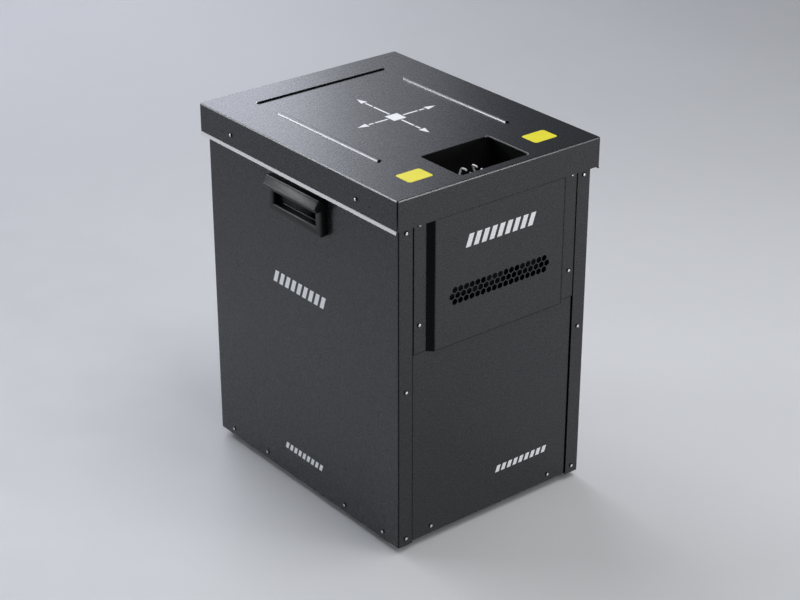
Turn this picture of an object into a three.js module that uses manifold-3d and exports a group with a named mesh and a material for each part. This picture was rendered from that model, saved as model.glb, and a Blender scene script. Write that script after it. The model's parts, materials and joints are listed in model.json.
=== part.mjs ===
// Stage flame machine: a floor-standing sheet-metal cabinet that throws a column of flame through its lid.
// Millimetres, +Z up, the front is -Y, the origin is on the floor under the cabinet's middle.
import * as THREE from 'three';
import { mergeVertices } from 'three/addons/utils/BufferGeometryUtils.js';
import Module from 'manifold-3d';

// Clearances and overruns
const fit = 0.3;
const runningFit = 0.5;
const cutOver = 5;

// Cabinet
const body = { width: 330, depth: 424, height: 474 };
const sheet = 1.5;
const panel = { flange: 23.5, bend: 1.8, frontRise: 2 };
const tray = { lip: 30, bend: 3, corner: 4 };
const foot = { height: 10, radius: 14, taper: 2, inset: 34, round: 1.5 };

// Lid
const lid = { skirt: 42, overhang: 8, bend: 1.8, corner: 1.8, seam: 1.2, flareDrop: 4, flareOut: 1.4 };
const opening = { width: 117, depth: 82.5, corner: 5, strip: 14.5 };
const bead = { width: 9, height: 2, length: 226, aside: 110, centre: 7.5, rearGap: 51 };
const beadShares = [[1, 0], [0.8, 0.7], [0.4, 1]];

// Vent hood on the front
const hood = { height: 186, gap: 0.5, face: 224, slope: 8, aside: 1, pressing: 1.2 };
const vent = { across: 8.3, pitch: 9.73, columns: 17, height: 70 };
const fan = { size: 92, depth: 25, bore: 86, hub: 36, corner: 5, strut: 4, mountPlate: 3, blades: 7 };
const fanBlade = { thickness: 1.4, chord: 24, tip: 3, rootShare: 0.7, pitchDegrees: 47, twistDegrees: 16 };

// Pull handles on the sides
const pull = { length: 120, centre: -3, height: 54, drop: 10, proud: 10.7, corner: 5 };
const pocket = { length: 95, floor: 14, mouth: 23.5, depth: 18, wall: 2, rise: 9, draft: 3 };
const pullLip = { reach: 19.4, shoulder: 12.4, slope: 11, nose: 4 };

// Fire chamber under the lid's opening
const chamber = { margin: 1.5, depth: 70, wall: 1.2, flange: 12, corner: 9, drain: 6 };
const nozzle = { forward: 0.8, hex: 16, hexHeight: 10, barrel: 7, tip: 3.5, rise: 26, bore: 1.6, stem: 5 };
const electrode = { radius: 1.5, apart: 18.2, spread: 10, belowLid: 19, hook: 10, gap: 9, straight: 8 };
const insulator = { radius: 6, collar: 8, collarHeight: 4, above: 24, below: 22, neck: 4.4 };

// Fuel tank and bay
const tank = { width: 210, height: 218, corner: 22, edge: 8, wall: 3, ahead: 24.7, gap: 18 };
const neck = { outer: 27, bore: 19, height: 22, aside: 50, fromRear: 45 };
const cap = { radius: 31, height: 16, plug: 12, gripCount: 10, gripDepth: 2, lift: 25 };
const outlet = { radius: 8, reach: 7, height: 34 };
const bay = { pumpRoom: 218.7, headroom: 8, bend: 3, grommet: 1.5 };

// Pump set
const motor = { radius: 42, length: 105, bell: 6, boss: 14, bossLength: 6, aside: -72, fromFront: 114 };
const motorFoot = { width: 70, length: 70, clear: 24 };
const shaft = { radius: 5, engage: 10 };
const coupling = { radius: 16, length: 26, slot: 3, end: 2, chamfer: 2 };
const bell = { plate: 4, width: 72, gap: 4, base: 8, window: 17, top: 30 };
const pumpHead = { radius: 26, length: 54, flange: 5, flangeRadius: 30, port: 7, portReach: 9, portAt: 29 };
const hose = { radius: 5, bend: 26, run: 20 };
const pipe = { radius: 3, bend: 20 };

// Solenoid valve
const valve = { width: 36, depth: 36, height: 28, back: 10, drop: 64, port: 7, portReach: 6 };
const guide = { radius: 7, bore: 5, length: 36, end: 2.5, vent: 1.5 };
const coil = { radius: 18, length: 30, bore: 7.4, round: 3 };
const plunger = { radius: 4.5, length: 27, stroke: 3, groove: 0.8 };

// Electrics on the shelf
const supply = { width: 150, depth: 98, height: 34, aside: 76, fromWall: 14 };
const supplyRib = { width: 3, height: 2.5, count: 7 };
const spark = { width: 96, depth: 62, height: 46, aside: -98, fromWall: 10 };
const sparkTower = { radius: 9, height: 14, apart: 44 };
const lead = { radius: 2.6, bend: 8 };
const leadLevelShare = 0.55;
const board = { width: 110, depth: 48, sheet: 1.6, standoff: 7, aside: -92 };
const boardParts = { chip: 14, chipHeight: 3, canRadius: 5, canHeight: 14, plugWidth: 34, plugHeight: 9 };
const boardShares = { chips: [-0.12, 0.2], cans: [-0.36, -0.26], canDepth: 0.7, plugs: [-0.22, 0.22] };

// Rear controls
const recess = { width: 230, height: 110, depth: 23, wall: 1.2, flange: 8, aboveShelf: 40 };
const screen = { width: 84, height: 38, bezel: 4, proud: 2, aside: 58, rise: 26, module: 9, boardGap: 6 };
const button = { radius: 5, proud: 3, travel: 1.5, collar: 6.4, collarHeight: 1.6, stem: 1.6 };
const buttonRow = { first: -22, pitch: 22, count: 4 };
const rocker = { width: 14, height: 24, flange: 4, proud: 2.5, crown: 3, body: 20, aside: 92 };
const rockerTiltDegrees = 8;
const socket = { flange: 2.4, radius: 11.6, bore: 8.6, depth: 11, body: 24, drop: 26 };
const socketFlange = { width: 26, height: 31 };
const socketAt = { powerIn: 54, powerOut: 18, signalIn: -24, signalOut: -66 };
const pin = { radius: 1.2, circle: 4.2, height: 4 };

// Rear door
const door = { width: 232, low: 34, gap: 1.5, stiffener: 10, swingDegrees: 110 };
const hinge = { radius: 3.4, pin: 1.6, knuckle: 38, leaf: 22, leafSheet: 1.2, knuckles: 5 };
const latch = { radius: 11, proud: 4, slot: 2.4, slotDepth: 2, stem: 5, inset: 20 };
const latchCam = { length: 30, width: 12, sheet: 2 };

// Curve resolution
const roundSides = 16;
const middleSides = 12;
const smallSides = 10;
const wireSides = 8;
const pinSides = 6;
const bendSteps = 3;
const arcSteps = 4;

// Levels and faces that every piece is placed from
const floorLevel = foot.height;
const skirtLevel = floorLevel + body.height;
const lidTop = skirtLevel + lid.skirt;
const lidUnder = lidTop - sheet;
const wallTop = lidUnder - fit;
const side = body.width / 2;
const front = -body.depth / 2;
const back = body.depth / 2;
const innerSide = side - sheet;
const frontSheet = front + sheet + fit;
const frontInner = frontSheet + sheet;
const backSheet = back - sheet - fit;
const backInner = backSheet - sheet;
const trayTop = floorLevel + sheet;
const wallY = frontInner + bay.pumpRoom;
const openingY = front - lid.overhang + opening.strip + opening.depth / 2;
const shelfLevel = trayTop + fit + tank.height + neck.height + cap.height + cap.lift + bay.headroom;

const wasm = await Module();
wasm.setup();

const { Vector2, Vector3, Matrix4 } = THREE;

// A closed mesh as a solid, with its faces turned outwards
function toSolid(geometry) {
  const bare = new THREE.BufferGeometry();
  bare.setAttribute('position', geometry.getAttribute('position'));
  bare.setIndex(geometry.getIndex());
  const merged = mergeVertices(bare);
  const points = new Float32Array(merged.getAttribute('position').array);
  const faces = new Uint32Array(merged.getIndex().array);
  if (signedVolume(points, faces) < 0) {
    for (let i = 0; i < faces.length; i += 3) {
      const swap = faces[i];
      faces[i] = faces[i + 1];
      faces[i + 1] = swap;
    }
  }
  return new wasm.Manifold(new wasm.Mesh({ numProp: 3, vertProperties: points, triVerts: faces }));
}

function signedVolume(points, faces) {
  const [a, b, c] = [new Vector3(), new Vector3(), new Vector3()];
  let sum = 0;
  for (let i = 0; i < faces.length; i += 3) {
    a.fromArray(points, 3 * faces[i]);
    b.fromArray(points, 3 * faces[i + 1]);
    c.fromArray(points, 3 * faces[i + 2]);
    sum += a.dot(b.cross(c));
  }
  return sum;
}

function toGeometry(solid) {
  const mesh = solid.getMesh();
  const geometry = new THREE.BufferGeometry();
  geometry.setAttribute('position', new THREE.BufferAttribute(new Float32Array(mesh.vertProperties), 3));
  geometry.setIndex(new THREE.BufferAttribute(new Uint32Array(mesh.triVerts), 1));
  geometry.computeVertexNormals();
  return geometry;
}

// The same solid, turned about its origin and then moved
function moved(solid, [x, y, z] = [0, 0, 0], turn = {}) {
  const euler = new THREE.Euler(turn.x ?? 0, turn.y ?? 0, turn.z ?? 0);
  const matrix = new Matrix4().makeRotationFromEuler(euler).setPosition(x, y, z);
  return toSolid(toGeometry(solid).applyMatrix4(matrix));
}

const mirrored = (solid) => toSolid(toGeometry(solid).applyMatrix4(new Matrix4().makeScale(-1, 1, 1)));

const join = (...solids) => solids.flat().reduce((sum, solid) => sum.add(solid));
const cut = (base, ...tools) => tools.flat().reduce((rest, tool) => rest.subtract(tool), base);

// Blocks and prisms, given by the span that they fill on each axis
function block([x0, x1], [y0, y1], [z0, z1]) {
  const geometry = new THREE.BoxGeometry(x1 - x0, y1 - y0, z1 - z0);
  geometry.translate((x0 + x1) / 2, (y0 + y1) / 2, (z0 + z1) / 2);
  return toSolid(geometry);
}

const around = (centre, size) => [centre - size / 2, centre + size / 2];

function prism(shape, from, to, matrix) {
  const options = { depth: to - from, bevelEnabled: false, steps: 1, curveSegments: arcSteps };
  const geometry = new THREE.ExtrudeGeometry(shape, options);
  geometry.translate(0, 0, from);
  geometry.applyMatrix4(matrix);
  return toSolid(geometry);
}

const unit = { x: new Vector3(1, 0, 0), y: new Vector3(0, 1, 0), z: new Vector3(0, 0, 1) };
const flat = new Matrix4();
const facingX = new Matrix4().makeBasis(unit.y, unit.z, unit.x);
const facingY = new Matrix4().makeBasis(unit.z, unit.x, unit.y);
const alongX = new Matrix4().makeRotationY(Math.PI / 2);
const alongY = new Matrix4().makeRotationX(-Math.PI / 2);

// A prism of an outline in x and y along Z, of y and z along X, or of z and x along Y
const prismZ = (shape, [z0, z1]) => prism(shape, z0, z1, flat);
const prismX = (shape, [x0, x1]) => prism(shape, x0, x1, facingX);
const prismY = (shape, [y0, y1]) => prism(shape, y0, y1, facingY);

const outline = (points) => new THREE.Shape(points.map(([u, v]) => new Vector2(u, v)));

function roundedRect(u, v, width, height, radius) {
  const [u0, u1] = around(u, width);
  const [v0, v1] = around(v, height);
  const shape = new THREE.Shape();
  shape.absarc(u1 - radius, v0 + radius, radius, -Math.PI / 2, 0);
  shape.absarc(u1 - radius, v1 - radius, radius, 0, Math.PI / 2);
  shape.absarc(u0 + radius, v1 - radius, radius, Math.PI / 2, Math.PI);
  shape.absarc(u0 + radius, v0 + radius, radius, Math.PI, 1.5 * Math.PI);
  return shape;
}

function polygon(u, v, radius, sides, turn = 0) {
  const points = [];
  for (let i = 0; i < sides; i += 1) {
    const angle = turn + (2 * Math.PI * i) / sides;
    points.push([u + radius * Math.cos(angle), v + radius * Math.sin(angle)]);
  }
  return outline(points);
}

// A round bar or cutter along an axis
const roundZ = ([x, y], radius, span, sides = roundSides) => prismZ(polygon(x, y, radius, sides), span);
const roundY = ([x, z], radius, span, sides = roundSides) => prismY(polygon(z, x, radius, sides), span);
const roundX = ([y, z], radius, span, sides = roundSides) => prismX(polygon(y, z, radius, sides), span);

// A turned piece: pairs of radius and height, about Z unless turned
function turned(profile, sides = roundSides, matrix = flat) {
  const geometry = new THREE.LatheGeometry(profile.map(([r, h]) => new Vector2(r, h)), sides);
  geometry.rotateX(Math.PI / 2);
  geometry.applyMatrix4(matrix);
  return toSolid(geometry);
}

// A skin over a row of rings with the same number of points, closed by a flat cap at each end
function loft(rings) {
  const count = rings[0].length;
  const positions = rings.flat().flatMap((point) => [point.x, point.y, point.z]);
  const faces = [];
  for (let ring = 0; ring + 1 < rings.length; ring += 1) {
    for (let i = 0; i < count; i += 1) {
      const a = ring * count + i;
      const b = ring * count + ((i + 1) % count);
      faces.push(a, b, b + count, a, b + count, a + count);
    }
  }
  const last = (rings.length - 1) * count;
  const capFaces = (ring) => THREE.ShapeUtils.triangulateShape(ring.map((p) => new Vector2(p.x, p.y)), []);
  for (const [a, b, c] of capFaces(rings[0])) {
    faces.push(c, b, a);
  }
  for (const [a, b, c] of capFaces(rings.at(-1))) {
    faces.push(a + last, b + last, c + last);
  }
  const geometry = new THREE.BufferGeometry();
  geometry.setAttribute('position', new THREE.BufferAttribute(new Float32Array(positions), 3));
  geometry.setIndex(faces);
  return toSolid(geometry);
}

// A level ring with the outline of a rounded rectangle
function rectRing(width, depth, radius, z) {
  const ring = [];
  const corners = [[1, -1], [1, 1], [-1, 1], [-1, -1]];
  corners.forEach(([sx, sy], corner) => {
    for (let i = 0; i <= bendSteps; i += 1) {
      const angle = (corner - 1 + i / bendSteps) * (Math.PI / 2);
      const x = sx * (width / 2 - radius) + radius * Math.cos(angle);
      const y = sy * (depth / 2 - radius) + radius * Math.sin(angle);
      ring.push(new Vector3(x, y, z));
    }
  });
  return ring;
}

// A pan of bent sheet, open upwards, with its outside bottom at z = 0
function pan(width, depth, height, wall, bend, corner) {
  const rings = [];
  const ringAt = (inset, z, radius) => rings.push(rectRing(width - 2 * inset, depth - 2 * inset, radius, z));
  const quarter = (step) => (step / bendSteps) * (Math.PI / 2);
  for (let i = 0; i <= bendSteps; i += 1) {
    const angle = quarter(i);
    ringAt(bend * (1 - Math.sin(angle)), bend * (1 - Math.cos(angle)), corner);
  }
  ringAt(0, height, corner);
  ringAt(wall, height, corner - wall);
  for (let i = bendSteps; i >= 0; i -= 1) {
    const angle = quarter(i);
    const reach = bend - wall;
    ringAt(bend - reach * Math.sin(angle), bend - reach * Math.cos(angle), corner - wall);
  }
  return loft(rings);
}

// A path with a station at each end and a few along each bend, straight from station to station
class StationPath extends THREE.Curve {
  constructor(stations) {
    super();
    this.stations = stations;
  }

  getPoint(share, target = new Vector3()) {
    const at = share * (this.stations.length - 1);
    const i = Math.min(Math.floor(at), this.stations.length - 2);
    return target.copy(this.stations[i]).lerp(this.stations[i + 1], at - i);
  }

  getPointAt(share, target) {
    return this.getPoint(share, target);
  }

  getSpacedPoints(divisions) {
    return Array.from({ length: divisions + 1 }, (_, i) => this.getPoint(i / divisions));
  }

  getTangentAt(share, target = new Vector3()) {
    const i = Math.round(share * (this.stations.length - 1));
    const last = this.stations.length - 1;
    const before = this.stations[i].clone().sub(this.stations[Math.max(i - 1, 0)]).normalize();
    const after = this.stations[Math.min(i + 1, last)].clone().sub(this.stations[i]).normalize();
    return target.copy(before).add(after).normalize();
  }
}

// A line through corners that are rounded with arcs of one radius
function bentPath(points, radius) {
  const stations = [points[0]];
  for (let i = 1; i + 1 < points.length; i += 1) {
    const corner = points[i];
    const before = corner.clone().sub(points[i - 1]).normalize();
    const after = points[i + 1].clone().sub(corner).normalize();
    const reach = radius * Math.tan(before.angleTo(after) / 2);
    const enter = corner.clone().addScaledVector(before, -reach);
    const leave = corner.clone().addScaledVector(after, reach);
    const bend = new THREE.QuadraticBezierCurve3(enter, corner, leave);
    stations.push(...bend.getPoints(bendSteps));
  }
  stations.push(points.at(-1));
  return new StationPath(stations);
}

// A round rod, pipe or cord along a bent path
function rod(points, radius, bend, sides = wireSides) {
  const path = bentPath(points, bend);
  const options = { steps: path.stations.length - 1, extrudePath: path, curveSegments: 1 };
  return toSolid(new THREE.ExtrudeGeometry(polygon(0, 0, radius, sides), options));
}

// Materials
function finish(color, roughness, metalness) {
  return new THREE.MeshStandardMaterial({ color, roughness, metalness });
}

const finishes = {
  powderCoat: () => finish(0x3b3c40, 0.55, 0.35),
  darkInside: () => finish(0x151517, 0.7, 0.3),
  steel: () => finish(0x9fa3a8, 0.35, 0.9),
  brightSteel: () => finish(0xd2d4d6, 0.25, 0.95),
  brass: () => finish(0xb9954a, 0.35, 0.9),
  castAluminium: () => finish(0x8c8f93, 0.5, 0.8),
  blackPlastic: () => finish(0x17181a, 0.5, 0),
  greyPlastic: () => finish(0x6c6f73, 0.55, 0),
  rubber: () => finish(0x101011, 0.85, 0),
  ceramic: () => finish(0xe9e4d8, 0.35, 0),
  tankPlastic: () => finish(0xe6e3d6, 0.5, 0),
  redCap: () => finish(0xa8231c, 0.5, 0),
  boardGreen: () => finish(0x1f5a35, 0.5, 0),
  screenGlass: () => finish(0x1c2b2f, 0.15, 0),
  motorBlack: () => finish(0x232427, 0.45, 0.5),
};

const machine = new THREE.Group();

function place(name, solid, material, [x, y, z] = [0, 0, 0]) {
  const mesh = new THREE.Mesh(toGeometry(solid), material);
  mesh.name = name;
  mesh.position.set(x, y, z);
  machine.add(mesh);
}

// Lid: a pan turned over, slit down its four corners, with raised beads, a flared hem on the two long sides
// and the nozzle opening
function beadSolid(length, grow, base) {
  const half = (length - bead.width) / 2;
  const rings = beadShares.map(([widthShare, heightShare]) => {
    const radius = (bead.width / 2) * widthShare + grow;
    const z = base + bead.height * heightShare;
    const ring = [];
    for (let i = 0; i < smallSides; i += 1) {
      const angle = ((i + 0.5) / smallSides) * 2 * Math.PI;
      const end = Math.cos(angle) > 0 ? half : -half;
      ring.push(new Vector3(end + radius * Math.cos(angle), radius * Math.sin(angle), z));
    }
    return ring;
  });
  return loft(rings);
}

function lidSolid() {
  const width = body.width + 2 * lid.overhang;
  const depth = body.depth + 2 * lid.overhang;
  const upturned = pan(width, depth, lid.skirt, sheet, lid.bend, lid.corner);
  const skirted = moved(upturned, [0, 0, lidTop], { x: Math.PI });
  const flare = outline([
    [width / 2 - sheet, skirtLevel + sheet],
    [width / 2 - sheet, skirtLevel],
    [width / 2 - sheet + lid.flareOut, skirtLevel - lid.flareDrop],
    [width / 2 + lid.flareOut, skirtLevel - lid.flareDrop],
    [width / 2, skirtLevel + sheet / 2],
    [width / 2, skirtLevel + sheet],
  ].map(([x, z]) => [z, x]));
  const hem = prismY(flare, around(0, depth - 2 * lid.corner));
  const hemmed = join(skirted, hem, mirrored(hem));
  const rearBeadY = back + lid.overhang - bead.rearGap;
  const beads = (grow, base) => [
    moved(beadSolid(bead.length, grow, base), [-bead.aside, bead.centre, 0], { z: Math.PI / 2 }),
    moved(beadSolid(bead.length, grow, base), [bead.aside, bead.centre, 0], { z: Math.PI / 2 }),
    moved(beadSolid(bead.length, grow, base), [0, rearBeadY, 0]),
  ];
  const beaded = join(hemmed, beads(0, lidTop));
  const throat = roundedRect(0, openingY, opening.width, opening.depth, opening.corner);
  const slitSpan = [skirtLevel - cutOver, lidTop - lid.bend];
  const seams = [[-1, -1], [-1, 1], [1, -1], [1, 1]].map(([signX, signY]) => {
    const slit = block(around(0, 4 * lid.corner), around(0, lid.seam), slitSpan);
    return moved(slit, [(signX * width) / 2, (signY * depth) / 2, 0], { z: (signX * signY * Math.PI) / 4 });
  });
  const through = prismZ(throat, [lidUnder - cutOver, lidTop + cutOver]);
  return cut(beaded, beads(-sheet / 2, lidUnder), through, seams);
}

// Levels of the pull handles and their finger pockets
const pullTop = skirtLevel - pull.drop;
const pocketFloor = pullTop - pull.height + pocket.floor;
const pocketMouth = pocketFloor + pocket.mouth;
const pocketRoof = pocketMouth + pocket.rise;

// Side panels: a channel with a narrow flange folded round the front and the back
function sidePanelSolid() {
  const half = body.depth / 2;
  const inner = panel.bend - sheet;
  const shape = new THREE.Shape();
  shape.moveTo(-panel.flange, -half);
  shape.lineTo(-panel.bend, -half);
  shape.absarc(-panel.bend, -half + panel.bend, panel.bend, -Math.PI / 2, 0);
  shape.absarc(-panel.bend, half - panel.bend, panel.bend, 0, Math.PI / 2);
  shape.lineTo(-panel.flange, half);
  shape.lineTo(-panel.flange, half - sheet);
  shape.absarc(-panel.bend, half - panel.bend, inner, Math.PI / 2, 0, true);
  shape.absarc(-panel.bend, -half + panel.bend, inner, 0, -Math.PI / 2, true);
  shape.lineTo(-panel.flange, -half + sheet);
  const wall = prismZ(shape, [floorLevel, wallTop]);
  const pocketSpan = pocket.length + 2 * (pocket.wall + fit);
  const low = pocketFloor - pocket.wall - fit;
  const high = pocketRoof + pocket.wall + fit;
  return cut(wall, block([-panel.bend - cutOver, cutOver], around(pull.centre, pocketSpan), [low, high]));
}

// Pull handle: a moulded frame with a finger pocket behind a lip that slopes outwards
function pullSolid() {
  const middle = pullTop - pull.height / 2;
  const frame = roundedRect(pull.centre, middle, pull.length, pull.height, pull.corner);
  const lip = new THREE.Shape();
  lip.moveTo(pullTop, fit);
  lip.lineTo(pullTop, pullLip.shoulder);
  lip.lineTo(pullTop - pullLip.slope, pullLip.reach);
  lip.quadraticCurveTo(pocketMouth, pullLip.reach, pocketMouth, pullLip.reach - pullLip.nose);
  lip.lineTo(pocketMouth, fit);
  const pocketSpan = pocket.length + 2 * pocket.wall;
  const shell = [pocketFloor - pocket.wall, pocketRoof + pocket.wall];
  const inside = -pocket.depth;
  const cavity = outline([
    [pocketFloor, pull.proud + cutOver],
    [pocketFloor, 0],
    [pocketFloor + pocket.draft, 0],
    [pocketFloor + pocket.draft, inside],
    [pocketRoof, inside],
    [pocketRoof, pull.proud - 2 * pocket.wall],
    [pocketMouth, pull.proud - pocket.wall],
    [pocketMouth, pull.proud + cutOver],
  ]);
  return cut(
    join(
      prismX(frame, [fit, pull.proud]),
      prismY(lip, around(pull.centre, pull.length)),
      block([inside - pocket.wall, 2 * fit], around(pull.centre, pocketSpan), shell),
    ),
    prismY(cavity, around(pull.centre, pocket.length)),
  );
}

function placePair(leftName, rightName, solid, material) {
  place(rightName, solid, material(), [side, 0, 0]);
  place(leftName, mirrored(solid), material(), [-side, 0, 0]);
}

// Base tray and feet
const trayWidth = 2 * (innerSide - fit);
const trayDepth = 2 * (backInner - fit);

const traySolid = () => pan(trayWidth, trayDepth, tray.lip, sheet, tray.bend, tray.corner);

function footSolid() {
  return turned([
    [0, 0],
    [foot.radius - foot.taper - foot.round, 0],
    [foot.radius - foot.taper, foot.round],
    [foot.radius, foot.height - fit],
    [0, foot.height - fit],
  ]);
}

function placeFeet() {
  const x = side - foot.inset;
  const y = back - foot.inset;
  const corners = { front_left: [-x, -y], front_right: [x, -y], rear_left: [-x, y], rear_right: [x, y] };
  for (const [corner, [footX, footY]] of Object.entries(corners)) {
    place(`foot_${corner}`, footSolid(), finishes.rubber(), [footX, footY, 0]);
  }
}

// Front panel behind the folded flanges, open where the fan draws air
const ventLevel = skirtLevel - hood.gap - hood.height + vent.height;

function frontPanelSolid() {
  const upright = [floorLevel + panel.frontRise, wallTop];
  const plate = block(around(0, trayWidth), [frontSheet, frontInner], upright);
  return cut(plate, roundY([0, ventLevel], fan.bore / 2, [frontSheet - cutOver, frontInner + cutOver]));
}

// Vent hood: a raised face with sloping sides between two mounting flanges, with rows of six-sided holes
const hoodTop = skirtLevel - hood.gap;
const hoodLow = hoodTop - hood.height;
const hoodFace = front - lid.overhang;
const hoodBase = frontSheet - fit - sheet;

function hoodSolid() {
  const rise = hoodBase - hoodFace;
  const wall = (hood.pressing * Math.hypot(hood.slope, rise)) / rise;
  const halfAt = (y, inset) => hood.face / 2 + (hood.slope * (y - hoodFace)) / rise - inset;
  const raised = (faceY, backY, inset) => outline([
    [-halfAt(backY, inset), backY],
    [-halfAt(faceY, inset), faceY],
    [halfAt(faceY, inset), faceY],
    [halfAt(backY, inset), backY],
  ]);
  const flangeHalf = side - panel.flange - hood.aside;
  const hoodBack = hoodBase + sheet;
  const flanges = block([-flangeHalf, flangeHalf], [hoodBase, hoodBack], [hoodLow, hoodTop]);
  const outer = prismZ(raised(hoodFace, hoodBack, 0), [hoodLow, hoodTop]);
  const hollow = prismZ(
    raised(hoodFace + hood.pressing, hoodBack + cutOver, wall),
    [hoodLow + hood.pressing, hoodTop - hood.pressing],
  );
  return cut(join(flanges, outer), hollow, honeycomb());
}

function honeycomb() {
  const holes = [];
  const rowRise = vent.pitch * Math.cos(Math.PI / 6);
  const radius = vent.across / 2 / Math.cos(Math.PI / 6);
  for (const row of [-1, 0, 1]) {
    const count = row === 0 ? vent.columns + 1 : vent.columns;
    for (let i = 0; i < count; i += 1) {
      const x = (i - (count - 1) / 2) * vent.pitch;
      const hole = polygon(ventLevel + row * rowRise, x, radius, 6);
      holes.push(prismY(hole, [hoodFace - hood.pressing, hoodFace + 2 * hood.pressing]));
    }
  }
  return holes;
}

// Fan behind the hood
const fanFront = frontInner + fit;
const fanBack = fanFront + fan.depth;

function fanFrameSolid() {
  const square = roundedRect(ventLevel, 0, fan.size, fan.size, fan.corner);
  const body = cut(
    prismY(square, [fanFront, fanBack]),
    roundY([0, ventLevel], fan.bore / 2, [fanFront - cutOver, fanBack + cutOver]),
  );
  const plate = [fanBack - fan.mountPlate, fanBack];
  const reach = fan.bore / 2 + fan.mountPlate / 2;
  const struts = [
    block(around(0, fan.strut), plate, around(ventLevel, 2 * reach)),
    block(around(0, 2 * reach), plate, around(ventLevel, fan.strut)),
  ];
  const hub = roundY([0, ventLevel], fan.hub / 2, plate);
  const through = [plate[0] - cutOver, plate[1] + cutOver];
  const shaftHole = roundY([0, ventLevel], fan.strut / 2 + fit, through, smallSides);
  return cut(join(body, struts, hub), shaftHole);
}

function fanBladeSolid() {
  const root = fan.hub / 2 - fanBlade.thickness;
  const tip = fan.bore / 2 - fanBlade.tip;
  const { chord, thickness, rootShare, pitchDegrees, twistDegrees } = fanBlade;
  const rings = [0, 0.5, 1].map((share) => {
    const angle = THREE.MathUtils.degToRad(pitchDegrees - twistDegrees * share);
    const half = (chord / 2) * THREE.MathUtils.lerp(rootShare, 1, share);
    const along = new Vector2(Math.cos(angle), Math.sin(angle)).multiplyScalar(half);
    const across = new Vector2(-Math.sin(angle), Math.cos(angle)).multiplyScalar(thickness / 2);
    const height = THREE.MathUtils.lerp(root, tip, share);
    const signs = [[-1, -1], [1, -1], [1, 1], [-1, 1]];
    return signs.map(([a, b]) => new Vector3(along.x * a + across.x * b, along.y * a + across.y * b, height));
  });
  return loft(rings);
}

const rotorY = (fanFront + fanBack - fan.mountPlate - runningFit) / 2;

// The rotor about its own Y axis
function fanRotorSolid() {
  const room = fan.depth - fan.mountPlate - runningFit;
  const hub = roundY([0, 0], fan.hub / 2 - fit, [-room / 2, room / 2]);
  const stub = roundY([0, 0], fan.strut / 2, [0, room / 2 + fan.mountPlate], smallSides);
  const blades = [];
  for (let i = 0; i < fan.blades; i += 1) {
    blades.push(moved(fanBladeSolid(), [0, 0, 0], { y: (2 * Math.PI * i) / fan.blades }));
  }
  return join(hub, stub, blades);
}

// Fire chamber: a black pan hung under the lid, with the nozzle and four spark electrodes
const chamberWidth = opening.width + 2 * (chamber.margin + chamber.wall);
const chamberDepth = opening.depth + 2 * (chamber.margin + chamber.wall);
const chamberLow = wallTop - chamber.depth;
const chamberFloor = chamberLow + chamber.wall;
const nozzleY = openingY + nozzle.forward;
const insulatorX = electrode.apart / 2 + electrode.spread;
const rearElectrodeY = nozzleY + electrode.gap / 2 + electrode.hook;
const frontElectrodeY = nozzleY - electrode.gap / 2;
const electrodePlaces = {
  rear_left: [-1, rearElectrodeY],
  rear_right: [1, rearElectrodeY],
  front_left: [-1, frontElectrodeY],
  front_right: [1, frontElectrodeY],
};
const electrodeTop = lidTop - electrode.belowLid;
const insulatorSeat = chamberFloor + fit;
const electrodeLow = chamberLow - insulator.below - electrode.straight;

function chamberSolid() {
  const walls = moved(
    pan(chamberWidth, chamberDepth, chamber.depth, chamber.wall, chamber.margin, chamber.corner),
    [0, openingY, chamberLow],
  );
  const { wall, corner } = chamber;
  const half = chamberDepth / 2;
  const flangeDepth = [openingY - half + corner, openingY + half + chamber.flange];
  const flange = block(around(0, chamberWidth + 2 * chamber.flange), flangeDepth, [wallTop - wall, wallTop]);
  const throat = roundedRect(0, openingY, chamberWidth - wall, chamberDepth - wall, corner);
  const through = [chamberLow - cutOver, chamberFloor + cutOver];
  const holes = Object.values(electrodePlaces).map(
    ([sign, y]) => roundZ([sign * insulatorX, y], insulator.radius + fit, through, smallSides),
  );
  const drainAt = [-chamberWidth / 2 + 2 * chamber.corner, openingY];
  return cut(
    join(walls, cut(flange, prismZ(throat, [wallTop - cutOver, wallTop + cutOver]))),
    holes,
    roundZ([0, nozzleY], nozzle.stem + fit, through, smallSides),
    roundZ(drainAt, chamber.drain, through, smallSides),
  );
}

function insulatorSolid() {
  const bore = electrode.radius + fit;
  const low = chamberLow - insulatorSeat - insulator.below;
  return turned([
    [bore, low],
    [insulator.neck, low],
    [insulator.neck, low + insulator.collarHeight],
    [insulator.radius, low + insulator.collarHeight],
    [insulator.radius, 0],
    [insulator.collar, 0],
    [insulator.collar, insulator.collarHeight],
    [insulator.radius, insulator.collarHeight],
    [insulator.radius, insulator.above],
    [insulator.neck, insulator.above + fit],
    [bore, insulator.above + fit],
    [bore, low],
  ], wireSides);
}

function electrodeSolid(sign, hooked) {
  const lean = insulatorSeat + insulator.above + electrode.radius + fit;
  const points = [
    new Vector3(0, 0, electrodeLow),
    new Vector3(0, 0, lean),
    new Vector3(-sign * electrode.spread, 0, electrodeTop - electrode.radius),
  ];
  if (hooked) {
    points.push(new Vector3(-sign * electrode.spread, -electrode.hook, electrodeTop - electrode.radius));
  }
  return rod(points, electrode.radius, 2 * electrode.radius);
}

function placeElectrodes() {
  for (const [where, [sign, y]] of Object.entries(electrodePlaces)) {
    const hooked = y === rearElectrodeY;
    const x = sign * insulatorX;
    place(`insulator_${where}`, insulatorSolid(), finishes.ceramic(), [x, y, insulatorSeat]);
    place(`electrode_${where}`, electrodeSolid(sign, hooked), finishes.brightSteel(), [x, y, 0]);
  }
}

// Spray nozzle on the chamber's floor, about its own axis
const stemLow = chamberLow - valve.drop + valve.portReach + fit;

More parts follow.
